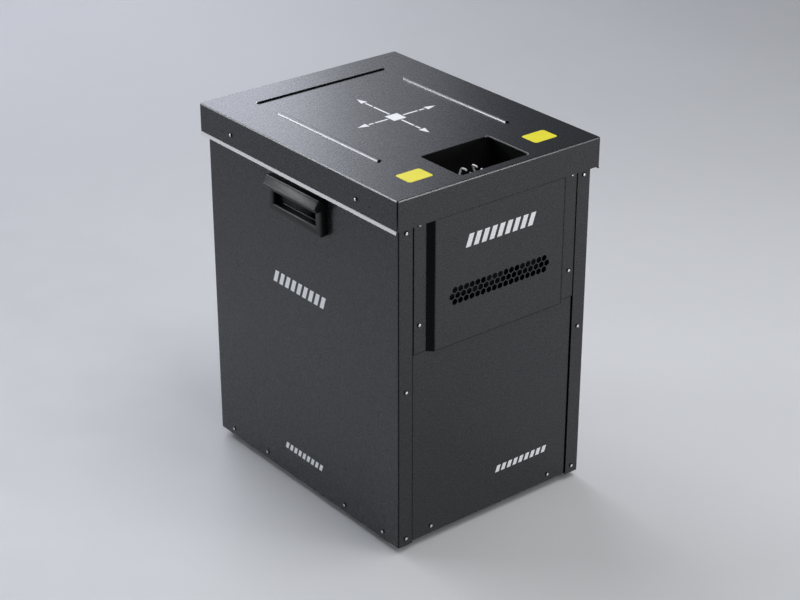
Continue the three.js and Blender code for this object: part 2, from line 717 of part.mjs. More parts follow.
function nozzleSolid() {
  const seat = chamberFloor + fit;
  const top = seat + nozzle.hexHeight + nozzle.rise;
  const coneLow = top - nozzle.rise / 3;
  const barrel = turned([
    [0, stemLow],
    [nozzle.stem, stemLow],
    [nozzle.stem, seat],
    [nozzle.barrel - fit, seat],
    [nozzle.barrel - nozzle.bore, coneLow],
    [nozzle.tip, top],
    [nozzle.bore, top],
    [nozzle.bore / 2, coneLow],
    [0, coneLow],
  ], roundSides);
  const hexRadius = nozzle.hex / 2 / Math.cos(Math.PI / 6);
  const nut = prismZ(polygon(0, 0, hexRadius, 6), [seat, seat + nozzle.hexHeight]);
  return join(barrel, nut);
}

// Solenoid valve under the chamber: brass block, upright outlet, inlet at the back, coil on its right
const valveTop = chamberLow - valve.drop;
const valveLevel = valveTop - valve.height / 2;
const valveSpan = [nozzleY - valve.back, nozzleY - valve.back + valve.depth];
const guideY = (valveSpan[0] + valveSpan[1]) / 2;
const guideFrom = valve.width / 2;
const coilX = guideFrom + fit + coil.length / 2;
const plungerX = guideFrom - guide.bore + fit;

function valveSolid() {
  const brick = block(around(0, valve.width), valveSpan, around(valveLevel, valve.height));
  const outletBoss = roundZ([0, nozzleY], valve.port, [valveLevel, valveTop + valve.portReach]);
  const inletBoss = roundY([0, valveLevel], valve.port, [guideY, valveSpan[1] + valve.portReach]);
  const tube = roundX([guideY, valveLevel], guide.radius, [0, guideFrom + guide.length]);
  const boreSpan = [guideFrom - guide.bore, guideFrom + guide.length - guide.end];
  const bore = roundX([guideY, valveLevel], guide.bore, boreSpan);
  const airSpan = [guideFrom, guideFrom + guide.length + cutOver];
  const airHole = roundX([guideY, valveLevel], guide.vent, airSpan, smallSides);
  return cut(join(brick, outletBoss, inletBoss, tube), bore, airHole);
}

function coilSolid() {
  const half = coil.length / 2;
  const core = coil.radius - coil.round;
  return turned([
    [coil.bore, -half],
    [core, -half],
    [coil.radius, -half + coil.round],
    [coil.radius, half - coil.round],
    [core, half],
    [coil.bore, half],
    [coil.bore, -half],
  ], roundSides, alongX);
}

function plungerSolid() {
  const { radius, length, groove } = plunger;
  return turned([
    [0, 0],
    [radius - groove, 0],
    [radius, groove],
    [radius, length - groove],
    [radius - groove, length],
    [0, length],
  ], smallSides, alongX);
}

// Pump set along X: motor, open bell housing with the coupling, pump head
const pumpY = frontInner + motor.fromFront;
const pumpLevel = trayTop + fit + motor.radius + motorFoot.clear;
const motorFace = motor.aside + motor.length / 2;
const bossEnd = motorFace + motor.bossLength;
const bellFrom = bossEnd + fit;
const bellRoom = coupling.length + 2 * bell.gap;
const bellTo = bellFrom + 2 * bell.plate + bellRoom;
const pumpFace = bellTo + fit;
const couplingX = bellFrom + bell.plate + bellRoom / 2;
const setFloor = -motor.radius - motorFoot.clear;
const portX = pumpFace + pumpHead.portAt;

function motorSolid() {
  const { radius, length, bell: rim } = motor;
  const half = length / 2;
  const bore = shaft.radius + runningFit;
  const deep = half + motor.bossLength - shaft.engage - fit;
  const casing = turned([
    [0, -half],
    [radius - rim, -half],
    [radius - sheet, -half + rim],
    [radius - sheet, -half + 3 * rim],
    [radius, -half + 3 * rim],
    [radius, half - 3 * rim],
    [radius - sheet, half - 3 * rim],
    [radius - sheet, half - rim],
    [radius - rim, half],
    [motor.boss, half],
    [motor.boss, half + motor.bossLength],
    [bore, half + motor.bossLength],
    [bore, deep],
    [0, deep],
  ], roundSides, alongX);
  const footLength = around(0, motorFoot.length);
  const pad = block(footLength, around(0, motorFoot.width), [setFloor, setFloor + 2 * bell.plate]);
  const web = block(around(0, motorFoot.length), around(0, motor.radius), [setFloor, -motor.radius / 2]);
  return join(casing, pad, web);
}

function bellSolid() {
  const { plate, base, top, width } = bell;
  const to = bellTo - bellFrom;
  const shape = outline([
    [setFloor, 0],
    [top, 0],
    [top, plate],
    [setFloor + base, plate],
    [setFloor + base, to - plate],
    [top, to - plate],
    [top, to],
    [setFloor, to],
  ]);
  return cut(prismY(shape, around(0, width)), roundX([0, 0], bell.window, [-cutOver, to + cutOver]));
}

function couplingSolid() {
  const half = coupling.length / 2;
  const reach = bellRoom / 2 + bell.plate + fit + shaft.engage;
  const { radius, chamfer, end } = coupling;
  const jaw = coupling.slot / 2;
  return turned([
    [0, -reach],
    [shaft.radius, -reach],
    [shaft.radius, -half],
    [radius - chamfer, -half],
    [radius, -half + chamfer],
    [radius, -jaw],
    [radius - end, -jaw],
    [radius - end, jaw],
    [radius, jaw],
    [radius, half - chamfer],
    [radius - chamfer, half],
    [shaft.radius, half],
    [shaft.radius, reach],
    [0, reach],
  ], middleSides, alongX);
}

function pumpHeadSolid() {
  const bore = shaft.radius + runningFit;
  const deep = shaft.engage + fit;
  const { radius, length, flange, flangeRadius, port, portReach, portAt } = pumpHead;
  const head = turned([
    [0, deep],
    [bore, deep],
    [bore, 0],
    [flangeRadius, 0],
    [flangeRadius, flange],
    [radius, flange],
    [radius, length - flange],
    [radius - flange, length],
    [0, length],
  ], roundSides, alongX);
  const up = roundZ([portAt, 0], port, [0, radius + portReach], smallSides);
  const rearward = roundY([portAt, 0], port, [radius / 2, radius + portReach], smallSides);
  return join(head, up, rearward);
}

function hosePath() {
  const from = pumpY + pumpHead.radius + pumpHead.portReach + fit;
  const to = tankFront - outlet.reach - fit;
  const low = trayTop + fit + outlet.height;
  return [
    new Vector3(portX, from, pumpLevel),
    new Vector3(portX, from + hose.run, pumpLevel),
    new Vector3(portX, wallY - hose.run, low),
    new Vector3(portX, to, low),
  ];
}

function pipePath() {
  return [
    new Vector3(portX, pumpY, pumpLevel + pumpHead.radius + pumpHead.portReach + fit),
    new Vector3(portX, pumpY, valveLevel),
    new Vector3(0, pumpY, valveLevel),
    new Vector3(0, valveSpan[1] + valve.portReach + fit, valveLevel),
  ];
}

// Inner bulkhead: one folded sheet that walls off the fuel bay and makes the shelf for the electrics
const innerHalf = innerSide - tray.bend - 2 * fit;
const tankBack = backInner - tank.gap;
const tankFront = wallY + tank.ahead;
const tankLow = trayTop + fit;
const neckPlace = [neck.aside, tankBack - neck.fromRear, tankLow + tank.height + fit];
const capPlace = [neckPlace[0], neckPlace[1], neckPlace[2] + neck.height + fit];

function bulkheadSolid() {
  const low = trayTop + fit;
  const top = shelfLevel + sheet;
  const { bend } = bay;
  const shape = new THREE.Shape();
  shape.moveTo(wallY, low);
  shape.lineTo(wallY + sheet, low);
  shape.absarc(wallY + bend, top - bend, bend - sheet, Math.PI, Math.PI / 2, true);
  shape.lineTo(backInner - fit, shelfLevel);
  shape.lineTo(backInner - fit, top);
  shape.absarc(wallY + bend, top - bend, bend, Math.PI / 2, Math.PI);
  const folded = prismX(shape, [-innerHalf, innerHalf]);
  const hole = hose.radius + bay.grommet;
  return cut(folded, roundY([portX, low + outlet.height], hole, [wallY - cutOver, wallY + bend], smallSides));
}

// Hollow fuel tank with an outlet at the foot of its front, a filler neck and a plug cap
function tankSolid() {
  const { width, height, corner, edge, wall } = tank;
  const depth = tankBack - tankFront;
  const rings = [];
  const rimShares = [0, 0.5, 1];
  const ringAt = (inset, z) => {
    rings.push(rectRing(width - 2 * inset, depth - 2 * inset, corner - inset / 2, z));
  };
  rimShares.forEach((share) => {
    const angle = share * (Math.PI / 2);
    ringAt(edge * (1 - Math.sin(angle)), edge * (1 - Math.cos(angle)));
  });
  rimShares.forEach((share) => {
    const angle = share * (Math.PI / 2);
    ringAt(edge * (1 - Math.cos(angle)), height - edge * (1 - Math.sin(angle)));
  });
  const middle = (tankFront + tankBack) / 2;
  const tankBody = moved(loft(rings), [0, middle, tankLow]);
  const bossSpan = [tankFront - outlet.reach, tankFront + edge];
  const boss = roundY([portX, tankLow + outlet.height], outlet.radius, bossSpan, wireSides);
  const innerRings = [wall, height - wall].map(
    (z) => rectRing(width - 2 * wall, depth - 2 * wall, corner - wall, z),
  );
  const inner = moved(loft(innerRings), [0, middle, tankLow]);
  const mouthSpan = [tankLow + height / 2, neckPlace[2] + cutOver];
  const mouth = roundZ([neckPlace[0], neckPlace[1]], neck.bore, mouthSpan);
  return cut(join(tankBody, boss), inner, mouth);
}

function neckSolid() {
  return turned([
    [neck.bore, 0],
    [neck.outer, 0],
    [neck.outer, neck.height - cap.gripDepth],
    [neck.outer - cap.gripDepth, neck.height],
    [neck.bore, neck.height],
    [neck.bore, 0],
  ]);
}

function capSolid() {
  const head = turned([
    [0, -cap.plug],
    [neck.bore - 2 * fit - cap.gripDepth, -cap.plug],
    [neck.bore - 2 * fit, -cap.plug + cap.gripDepth],
    [neck.bore - 2 * fit, 0],
    [cap.radius, 0],
    [cap.radius, cap.height - cap.gripDepth],
    [cap.radius - cap.gripDepth, cap.height],
    [0, cap.height],
  ], 2 * cap.gripCount);
  const scallops = [];
  for (let i = 0; i < cap.gripCount; i += 1) {
    const angle = (2 * Math.PI * i) / cap.gripCount;
    const reach = cap.radius + cap.gripDepth;
    const at = [reach * Math.cos(angle), reach * Math.sin(angle)];
    scallops.push(roundZ(at, 2 * cap.gripDepth, [-cap.plug / 2, cap.height + cutOver], pinSides));
  }
  return cut(head, scallops);
}

// Electrics on the shelf: power supply, ignition transformer with two lead towers, control board
const shelfTop = shelfLevel + sheet + fit;

function supplySolid() {
  const from = wallY + supply.fromWall;
  const casing = block(around(0, supply.width), [from, from + supply.depth], [0, supply.height]);
  const ribs = [];
  for (let i = 0; i < supplyRib.count; i += 1) {
    const x = ((i + 1) / (supplyRib.count + 1) - 0.5) * supply.width;
    const span = [from + supplyRib.width, from + supply.depth - supplyRib.width];
    ribs.push(block(around(x, supplyRib.width), span, [supply.height / 2, supply.height + supplyRib.height]));
  }
  return join(casing, ribs);
}

const sparkY = wallY + spark.fromWall + spark.depth / 2;
const towerTop = shelfTop + spark.height + sparkTower.height;

function sparkSolid() {
  const base = roundedRect(0, 0, spark.width, spark.depth, sparkTower.radius / 2);
  const potting = prismZ(base, [0, spark.height]);
  const towerSpan = [spark.height / 2, spark.height + sparkTower.height];
  const towers = [-1, 1].map(
    (sign) => roundZ([(sign * sparkTower.apart) / 2, 0], sparkTower.radius, towerSpan, middleSides),
  );
  return join(potting, towers);
}

function leadSolid(sign) {
  const top = electrodeLow - fit;
  const clearOf = Math.max(towerTop, valveLevel + coil.radius);
  const level = THREE.MathUtils.lerp(clearOf, top, leadLevelShare);
  const towerX = spark.aside + (sign * sparkTower.apart) / 2;
  return rod([
    new Vector3(sign * insulatorX, rearElectrodeY, top),
    new Vector3(sign * insulatorX, rearElectrodeY, level),
    new Vector3(towerX, sparkY, level),
    new Vector3(towerX, sparkY, towerTop + fit),
  ], lead.radius, lead.bend);
}

const boardY = (sparkY + spark.depth / 2 + backInner - board.depth) / 2;

function boardSolid() {
  const { width, depth, sheet: plate, standoff } = board;
  const level = standoff;
  const card = block(around(0, width), [0, depth], [level, level + plate]);
  const legs = [];
  const inset = boardParts.canRadius;
  for (const x of [-width / 2 + inset, width / 2 - inset]) {
    for (const y of [inset, depth - inset]) {
      legs.push(roundZ([x, y], inset / 2, [0, level + plate / 2], wireSides));
    }
  }
  const on = level + plate / 2;
  const chips = boardShares.chips.map((share) => block(
    around(share * width, boardParts.chip),
    around(depth / 2, boardParts.chip),
    [on, level + plate + boardParts.chipHeight],
  ));
  const canSpan = [on, on + boardParts.canHeight];
  const canY = depth * boardShares.canDepth;
  const cans = boardShares.cans.map(
    (share) => roundZ([share * width, canY], boardParts.canRadius, canSpan, wireSides),
  );
  const plugs = boardShares.plugs.map((share) => block(
    around(share * width, boardParts.plugWidth),
    [fit, boardParts.plugHeight],
    [on, on + boardParts.plugHeight],
  ));
  return join(card, legs, chips, cans, plugs);
}

// Rear controls in a recessed tray
const recessLow = shelfLevel + recess.aboveShelf;
const recessTop = recessLow + recess.height;
const recessMid = (recessLow + recessTop) / 2;
const trayFace = backInner - fit - recess.depth;
const trayRear = trayFace - recess.wall;
const screenLevel = recessMid + screen.rise;
const socketLevel = recessMid - socket.drop;
const rockerBox = {
  width: rocker.width + 2 * (runningFit + sheet),
  height: rocker.height + 2 * (runningFit + sheet),
};
const buttonPlaces = Array.from({ length: buttonRow.count }, (_, i) => buttonRow.first - i * buttonRow.pitch);

function controlTraySolid() {
  const { width, wall, flange } = recess;
  const rim = backInner - fit;
  const shell = cut(
    join(
      block(around(0, width), [trayRear, rim], [recessLow, recessTop]),
      block(around(0, width + 2 * flange), [rim - wall, rim], [recessLow - flange, recessTop + flange]),
    ),
    block(around(0, width - 2 * wall), [trayFace, rim + cutOver], [recessLow + wall, recessTop - wall]),
  );
  const through = [trayRear - cutOver / 2, trayFace + cutOver / 2];
  const windowWidth = screen.width - 2 * screen.bezel;
  const windowHeight = screen.height - 2 * screen.bezel;
  const holes = [
    block(around(screen.aside, windowWidth), through, around(screenLevel, windowHeight)),
    block(
      around(rocker.aside, rockerBox.width + 2 * fit),
      through,
      around(socketLevel, rockerBox.height + 2 * fit),
    ),
    ...buttonPlaces.map((x) => roundY([x, screenLevel], button.radius + fit, through, smallSides)),
    ...Object.values(socketAt).map(
      (x) => roundY([x, socketLevel], socket.radius + 2 * fit, through, middleSides),
    ),
  ];
  return cut(shell, holes);
}

function screenSolid() {
  const { width, height, bezel, proud } = screen;
  const plate = [trayFace + fit, trayFace + fit + proud];
  const glass = [width - 2 * bezel, height - 2 * bezel];
  const frame = prismY(roundedRect(screenLevel, screen.aside, height, width, bezel), plate);
  const boss = block(
    around(screen.aside, glass[0] - 2 * fit),
    [trayRear - bezel / 2, trayFace + proud / 2],
    around(screenLevel, glass[1] - 2 * fit),
  );
  const sunkSpan = [plate[1] - proud / 2, plate[1] + cutOver];
  const sunk = block(around(screen.aside, glass[0]), sunkSpan, around(screenLevel, glass[1]));
  return cut(join(frame, boss), sunk);
}

const switchFace = trayRear - fit - button.collarHeight - button.travel - screen.boardGap / 2;

function screenBoardSolid() {
  const low = Math.min(...buttonPlaces) - buttonRow.pitch / 2;
  const high = screen.aside + screen.width / 2;
  const card = [switchFace - screen.boardGap / 2 - board.sheet, switchFace - screen.boardGap / 2];
  const span = around(screenLevel, screen.height);
  const module = block(
    around(screen.aside, screen.width - 2 * screen.bezel),
    [card[0], trayRear - screen.bezel / 2 - fit],
    around(screenLevel, screen.height - 2 * screen.bezel),
  );
  const switches = buttonPlaces.map(
    (x) => block(around(x, button.radius), [card[0], switchFace], around(screenLevel, button.radius)),
  );
  const inset = button.radius / 2;
  const postSpan = [card[0], trayRear - fit];
  const posts = [low + inset, high - inset].map(
    (x) => roundY([x, span[1] - inset], inset - fit, postSpan, wireSides),
  );
  return join(block([low, high], card, span), module, switches, posts);
}

// A button about its own axis, pressed towards -Y, with its collar trapped behind the tray
function buttonSolid() {
  const { radius, collar, stem, proud } = button;
  const edge = sheet / 2;
  const shoulder = -recess.wall - fit;
  const collarLow = shoulder - button.collarHeight;
  const stemEnd = collarLow - screen.boardGap / 2 + fit;
  return turned([
    [0, stemEnd],
    [stem, stemEnd],
    [stem, collarLow],
    [collar, collarLow],
    [collar, shoulder],
    [radius, shoulder],
    [radius, proud - edge],
    [radius - edge, proud],
    [0, proud],
  ], smallSides, alongY);
}

function rockerHousingSolid() {
  const plate = [trayFace + fit, trayFace + fit + rocker.proud];
  const flangeSize = [rockerBox.height + 2 * rocker.flange, rockerBox.width + 2 * rocker.flange];
  const frame = prismY(roundedRect(socketLevel, rocker.aside, ...flangeSize, rocker.flange / 2), plate);
  const box = block(
    around(rocker.aside, rockerBox.width),
    [trayFace - rocker.body, plate[1]],
    around(socketLevel, rockerBox.height),
  );
  const inside = block(
    around(rocker.aside, rocker.width + 2 * runningFit),
    [trayFace - rocker.body + sheet, plate[1] + cutOver],
    around(socketLevel, rocker.height + 2 * runningFit),
  );
  return cut(join(frame, box), inside);
}

// The rocker about its pivot, with its lower half pressed in at rest
function rockerSolid() {
  const half = rocker.height / 2 - runningFit;
  const { crown, proud, width } = rocker;
  const outer = proud + crown / 2;
  const shape = outline([
    [-crown * 2, -half / 2],
    [-crown * 2, half / 2],
    [0, half],
    [outer, half],
    [outer - crown / 2, 0],
    [outer, -half],
    [0, -half],
  ]);
  const tilt = THREE.MathUtils.degToRad(rockerTiltDegrees);
  return moved(prismX(shape, around(0, width)), [0, 0, 0], { x: tilt });
}

// A round panel socket about its own axis, its bore open to the back of the machine
function socketSolid(pins) {
  const plate = [fit, fit + socket.flange];
  const flangeShape = roundedRect(0, 0, socketFlange.height, socketFlange.width, socket.flange);
  const barrel = roundY([0, 0], socket.radius, [-socket.body, plate[1] + socket.flange / 2], middleSides);
  const floorY = plate[1] - socket.depth;
  const bore = roundY([0, 0], socket.bore, [floorY, plate[1] + cutOver], middleSides);
  const contacts = [];
  for (let i = 0; i < pins; i += 1) {
    const angle = Math.PI / 2 + (2 * Math.PI * i) / pins;
    const at = [pin.circle * Math.cos(angle), pin.circle * Math.sin(angle)];
    contacts.push(roundY(at, pin.radius, [floorY - pin.height, floorY + pin.height], pinSides));
  }
  return join(cut(join(prismY(flangeShape, plate), barrel), bore), contacts);
}

function placeControls() {
  place('control_tray', controlTraySolid(), finishes.powderCoat());
  place('display_window', screenSolid(), finishes.screenGlass());
  place('display_board', screenBoardSolid(), finishes.boardGreen());
  buttonPlaces.forEach((x, i) => {
    place(`menu_button_${i + 1}`, buttonSolid(), finishes.greyPlastic(), [x, trayFace, screenLevel]);
  });
  place('power_switch_housing', rockerHousingSolid(), finishes.blackPlastic());
  place('power_switch_rocker', rockerSolid(), finishes.greyPlastic(), [rocker.aside, trayFace, socketLevel]);
  place('power_inlet', socketSolid(3), finishes.blackPlastic(), [socketAt.powerIn, trayFace, socketLevel]);
  place('power_outlet', socketSolid(3), finishes.greyPlastic(), [socketAt.powerOut, trayFace, socketLevel]);
  place('signal_inlet', socketSolid(3), finishes.steel(), [socketAt.signalIn, trayFace, socketLevel]);
  place('signal_outlet', socketSolid(3), finishes.steel(), [socketAt.signalOut, trayFace, socketLevel]);
}

// Back panel with the openings for the controls and the fuel bay's door
const doorLow = floorLevel + door.low;
const doorTop = shelfLevel - bay.headroom;
const doorMid = (doorLow + doorTop) / 2;

function backPanelSolid() {
  const { width, wall } = recess;
  const upright = [floorLevel + panel.frontRise, wallTop];
  const through = [backInner - cutOver, backSheet + cutOver];
  return cut(
    block(around(0, trayWidth), [backInner, backSheet], upright),
    block(around(0, width - 2 * wall), through, [recessLow + wall, recessTop - wall]),
    block(around(0, door.width), through, [doorLow, doorTop]),
  );
}

// Rear door on a row of knuckles about one pin, with a quarter-turn latch
const hingeX = door.width / 2 + hinge.radius / 2;
const hingeY = backSheet + fit + hinge.radius;
const hingeLength = hinge.knuckles * hinge.knuckle + (hinge.knuckles - 1) * runningFit;
const knuckleSpan = (i) => {
  const low = doorMid - hingeLength / 2 + i * (hinge.knuckle + runningFit);
  return [low, low + hinge.knuckle];
};

function knuckles(first, sign) {
  const solids = [];
  const leafY = [backSheet + fit, backSheet + fit + hinge.leafSheet];
  for (let i = first; i < hinge.knuckles; i += 2) {
    const neckSpan = [0, hinge.radius + runningFit + hinge.leafSheet].map((reach) => hingeX + sign * reach);
    const barrel = roundZ([hingeX, hingeY], hinge.radius, knuckleSpan(i), middleSides);
    const strap = block(neckSpan.sort((a, b) => a - b), leafY, knuckleSpan(i));
    solids.push(join(barrel, strap));
  }
  return solids;
}

const pinHole = () => {
  const reach = hingeLength / 2 + cutOver;
  return roundZ([hingeX, hingeY], hinge.pin + fit, [doorMid - reach, doorMid + reach], smallSides);
};

function hingeLeafSolid() {
  const leafY = [backSheet + fit, backSheet + fit + hinge.leafSheet];
  const from = hingeX + hinge.radius + runningFit;
  const leaf = block([from, from + hinge.leaf - hinge.radius], leafY, around(doorMid, hingeLength));
  return cut(join(leaf, knuckles(0, 1)), pinHole());
}

function hingePinSolid() {
  const half = hingeLength / 2;
  const head = hinge.pin + 2 * fit;
  const { pin: radius } = hinge;
  return turned([
    [0, -half - fit - head],
    [hinge.radius - fit, -half - fit - head],
    [hinge.radius - fit, -half - fit],
    [radius, -half - fit],
    [radius, half + fit],
    [hinge.radius - fit, half + fit],
    [hinge.radius - fit, half + fit + head],
    [0, half + fit + head],
  ], smallSides);
}

const latchX = -door.width / 2 + latch.inset;

function doorSolid() {
  const halfWidth = door.width / 2 - door.gap;
  const span = [doorLow + door.gap, doorTop - door.gap];
  const plate = block([-halfWidth, halfWidth], [backInner, backSheet], span);
  const fold = [backInner - door.stiffener, backSheet];
  const foldHalf = halfWidth - latch.inset - latchCam.width;
  const edges = [
    block([-foldHalf, foldHalf], fold, [span[0], span[0] + sheet]),
    block([-foldHalf, foldHalf], fold, [span[1] - sheet, span[1]]),
  ];
  const leafEnd = hingeX - hinge.radius - runningFit;
  const leaf = block(
    [leafEnd - hinge.leaf + hinge.radius, leafEnd],
    [backInner + sheet / 2, backSheet + fit + hinge.leafSheet],
    around(doorMid, hingeLength),
  );
  const through = [backInner - cutOver, backSheet + cutOver];
  const stemHole = roundY([latchX, doorMid], latch.stem + fit, through, smallSides);
  return cut(join(plate, edges, leaf, knuckles(1, -1)), stemHole, pinHole());
}

// The latch about its own axis, its cam hanging down when it is open
function latchSolid() {
  const face = fit + latch.proud;
  const knob = roundY([0, 0], latch.radius, [fit, face]);
  const slotSpan = [face - latch.slotDepth, face + cutOver];
  const slot = block(around(0, latch.slot), slotSpan, around(0, 3 * latch.radius));
  const cam = [-sheet - fit - latchCam.sheet, -sheet - fit];
  const stem = roundY([0, 0], latch.stem, [cam[0] - latchCam.sheet, fit + latch.proud / 2], smallSides);
  const arm = block(around(0, latchCam.width), cam, [-latchCam.length, 0]);
  const eye = roundY([0, 0], latchCam.width / 2, cam, smallSides);
  return join(cut(knob, slot), stem, arm, eye);
}

// Assembly
place('lid', lidSolid(), finishes.powderCoat());
placePair('left_side_panel', 'right_side_panel', sidePanelSolid(), finishes.powderCoat);
placePair('left_pull_handle', 'right_pull_handle', pullSolid(), finishes.blackPlastic);
place('front_panel', frontPanelSolid(), finishes.powderCoat());
place('vent_hood', hoodSolid(), finishes.powderCoat());
place('back_panel', backPanelSolid(), finishes.powderCoat());
place('base_tray', traySolid(), finishes.powderCoat(), [0, 0, floorLevel]);
place('inner_bulkhead', bulkheadSolid(), finishes.steel());
placeFeet();
place('fan_frame', fanFrameSolid(), finishes.blackPlastic());
place('fan_rotor', fanRotorSolid(), finishes.blackPlastic(), [0, rotorY, ventLevel]);
place('fire_chamber', chamberSolid(), finishes.darkInside());
placeElectrodes();
place('spray_nozzle', nozzleSolid(), finishes.brass(), [0, nozzleY, 0]);
place('valve_body', valveSolid(), finishes.brass());
place('valve_coil', coilSolid(), finishes.motorBlack(), [coilX, guideY, valveLevel]);
place('valve_plunger', plungerSolid(), finishes.brightSteel(), [plungerX, guideY, valveLevel]);
place('pump_motor', motorSolid(), finishes.motorBlack(), [motor.aside, pumpY, pumpLevel]);
place('pump_bell_housing', bellSolid(), finishes.castAluminium(), [bellFrom, pumpY, pumpLevel]);
place('drive_coupling', couplingSolid(), finishes.steel(), [couplingX, pumpY, pumpLevel]);
place('pump_head', pumpHeadSolid(), finishes.brass(), [pumpFace, pumpY, pumpLevel]);
place('suction_hose', rod(hosePath(), hose.radius, hose.bend), finishes.rubber());
place('pressure_pipe', rod(pipePath(), pipe.radius, pipe.bend), finishes.steel());
place('fuel_tank', tankSolid(), finishes.tankPlastic());
place('filler_neck', neckSolid(), finishes.tankPlastic(), neckPlace);
place('tank_cap', capSolid(), finishes.redCap(), capPlace);
place('power_supply', supplySolid(), finishes.steel(), [supply.aside, 0, shelfTop]);
place('ignition_transformer', sparkSolid(), finishes.motorBlack(), [spark.aside, sparkY, shelfTop]);
place('ignition_lead_left', leadSolid(-1), finishes.rubber());
place('ignition_lead_right', leadSolid(1), finishes.rubber());
place('control_board', boardSolid(), finishes.boardGreen(), [board.aside, boardY, shelfTop]);
placeControls();
place('rear_door', doorSolid(), finishes.powderCoat());
place('door_hinge', hingeLeafSolid(), finishes.steel());
place('door_hinge_pin', hingePinSolid(), finishes.steel(), [hingeX, hingeY, doorMid]);
place('door_latch', latchSolid(), finishes.steel(), [latchX, backSheet, doorMid]);

export default machine;
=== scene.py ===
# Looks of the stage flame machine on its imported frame: metres, +Z up, the front is -Y.
import json
import math

import bmesh
import bpy
from mathutils import Matrix, Vector


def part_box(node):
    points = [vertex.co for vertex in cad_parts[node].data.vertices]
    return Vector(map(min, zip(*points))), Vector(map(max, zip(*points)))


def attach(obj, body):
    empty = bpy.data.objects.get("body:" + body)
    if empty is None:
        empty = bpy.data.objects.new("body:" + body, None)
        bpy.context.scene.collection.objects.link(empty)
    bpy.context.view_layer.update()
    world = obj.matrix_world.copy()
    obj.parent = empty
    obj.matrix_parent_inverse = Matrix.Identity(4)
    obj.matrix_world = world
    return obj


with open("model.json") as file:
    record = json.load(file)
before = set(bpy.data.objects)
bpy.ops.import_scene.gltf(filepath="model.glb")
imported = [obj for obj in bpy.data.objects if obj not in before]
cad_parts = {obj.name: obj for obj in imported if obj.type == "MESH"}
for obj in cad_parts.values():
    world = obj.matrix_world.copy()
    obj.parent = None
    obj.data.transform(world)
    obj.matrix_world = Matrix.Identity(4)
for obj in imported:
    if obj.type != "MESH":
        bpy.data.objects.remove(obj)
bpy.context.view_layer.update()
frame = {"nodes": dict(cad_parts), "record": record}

# Camera, fitted to the photograph's edges and corners
CAMERA = {
    "place": (-1.5598, -1.9582, 1.4981), "looks": (0.55935, 0.69898, -0.44560),
    "lens": 88.65, "film": 36, "far": 30,
}

# Edges of the folded sheets and of the moulded and turned pieces
SHEET_EDGE = 0.0004
SOFT_EDGE = 0.0007
PULL_EDGE = 0.0024
SMOOTH_DEGREES = 38
FLAT_DEGREES = 1
WELD_REACH = 0.00001

# Panel screws: pan heads with a cross recess
SCREW = {
    "radius": 0.0032, "height": 0.0019, "washer": 0.0003, "cross": 0.0014, "blade": 0.0005, "deep": 0.0009,
    # The outer shares of the head's radius darken into painted shade towards its rim
    "bright": 0.54, "rim_shade": 0.72, "turn": 0.3, "step": 0.9,
}
FLANGE_SCREW_X = 0.1525
FLANGE_SCREWS_Z = (0.4745, 0.2470, 0.0213)
HOOD_SCREW_X = 0.1310
HOOD_SCREWS_Z = (0.4805, 0.3388)
FRONT_SCREW = (0.1075, 0.0230)
SIDE_SCREWS_Y = (-0.1780, -0.0925, 0.0925, 0.1780)
SIDE_SCREW_Z = 0.0206
LID_SCREWS = ((0.1445, 0.5010), (-0.1357, 0.5010))
LID_HOLES = ((0.1657, 0.5000), (-0.1636, 0.5000))
HOLE_RADIUS = 0.0014

# Prints: plain generic shapes
PRINT = 0.00012
GUIDE = {
    "centre": (0.005, 0.007), "square": 0.021, "width": 0.0056, "head": 0.0110, "tip": 1.5, "break": 0.62,
}
GUIDE_ARMS = ((1, 0, 0.070), (-1, 0, 0.065), (0, 1, 0.086), (0, -1, 0.073))
BAR_COUNT = 9
BAR_SHARE = 0.62
BAR_SLANT = 0.35
HOOD_BARS = {"width": 0.120, "height": 0.018, "level": 0.440}
PATCH = {"width": 0.040, "depth": 0.030, "corner": 0.004}
PATCHES = ((-0.104, -0.168), (0.110, -0.168))

# The lid: its beads stand above the top, and its hem stands out of the skirt
BEAD_RISE = 0.002
HEM_OUT = 0.0014
HEM_TOP = 0.4842

# Powder coat: how metallic its places of painted shade and of painted sheen look, and how much smoother its
# rubbed place is
COAT = {"shade_metal": 0.9, "sheen_metal": 0.92, "rubbed": 0.55}

# Places where the coat is painted differently: painted shade in gaps, on folds and on turned-away bends, and
# a painted highlight on the opening's rim
FLANGE_GAP = {"aside": 0.1407, "reach": 0.0013}
FRONT_SHADE = {"turned": 0.21, "level": 0.72, "upward": 0.2, "beads_from": -0.150}
HOOD_EDGE = {"aside": 0.1112, "reach": 0.0008, "low": 0.0010, "share": 0.70}
OPENING = {"width": 0.117, "depth": 0.0825, "corner": 0.005, "middle": -0.16425, "rim": 0.0012, "share": 0.30}

# Rear details
SOCKET_RING = {"bore": 0.0089, "radius": 0.0114, "height": 0.0003}
SOCKET_SCREW = {"across": 0.0096, "up": 0.0121, "plate": 0.0012, "scale": 0.5}
LATCH_SLOT = {"knob": 0.011, "width": 0.0024, "length": 0.0150}

# Stretched grain of the drawn steel, and the length of an electrode's tip that the spark heats and that
# carries a painted highlight
STEEL_GRAIN = (1, 1, 14)
TINTED_AND_LIT_LENGTH = 0.030

# The floor under the cabinet
FLOOR = {"reach": 9, "depth": 0.02}


# Material helpers
def new_material(name, metallic=0.0, **sockets):
    material = bpy.data.materials.new(name)
    material.use_nodes = True
    shader = material.node_tree.nodes["Principled BSDF"]
    shader.inputs["Metallic"].default_value = metallic
    for socket, value in sockets.items():
        shader.inputs[socket.replace("_", " ")].default_value = value
    return material, material.node_tree, shader


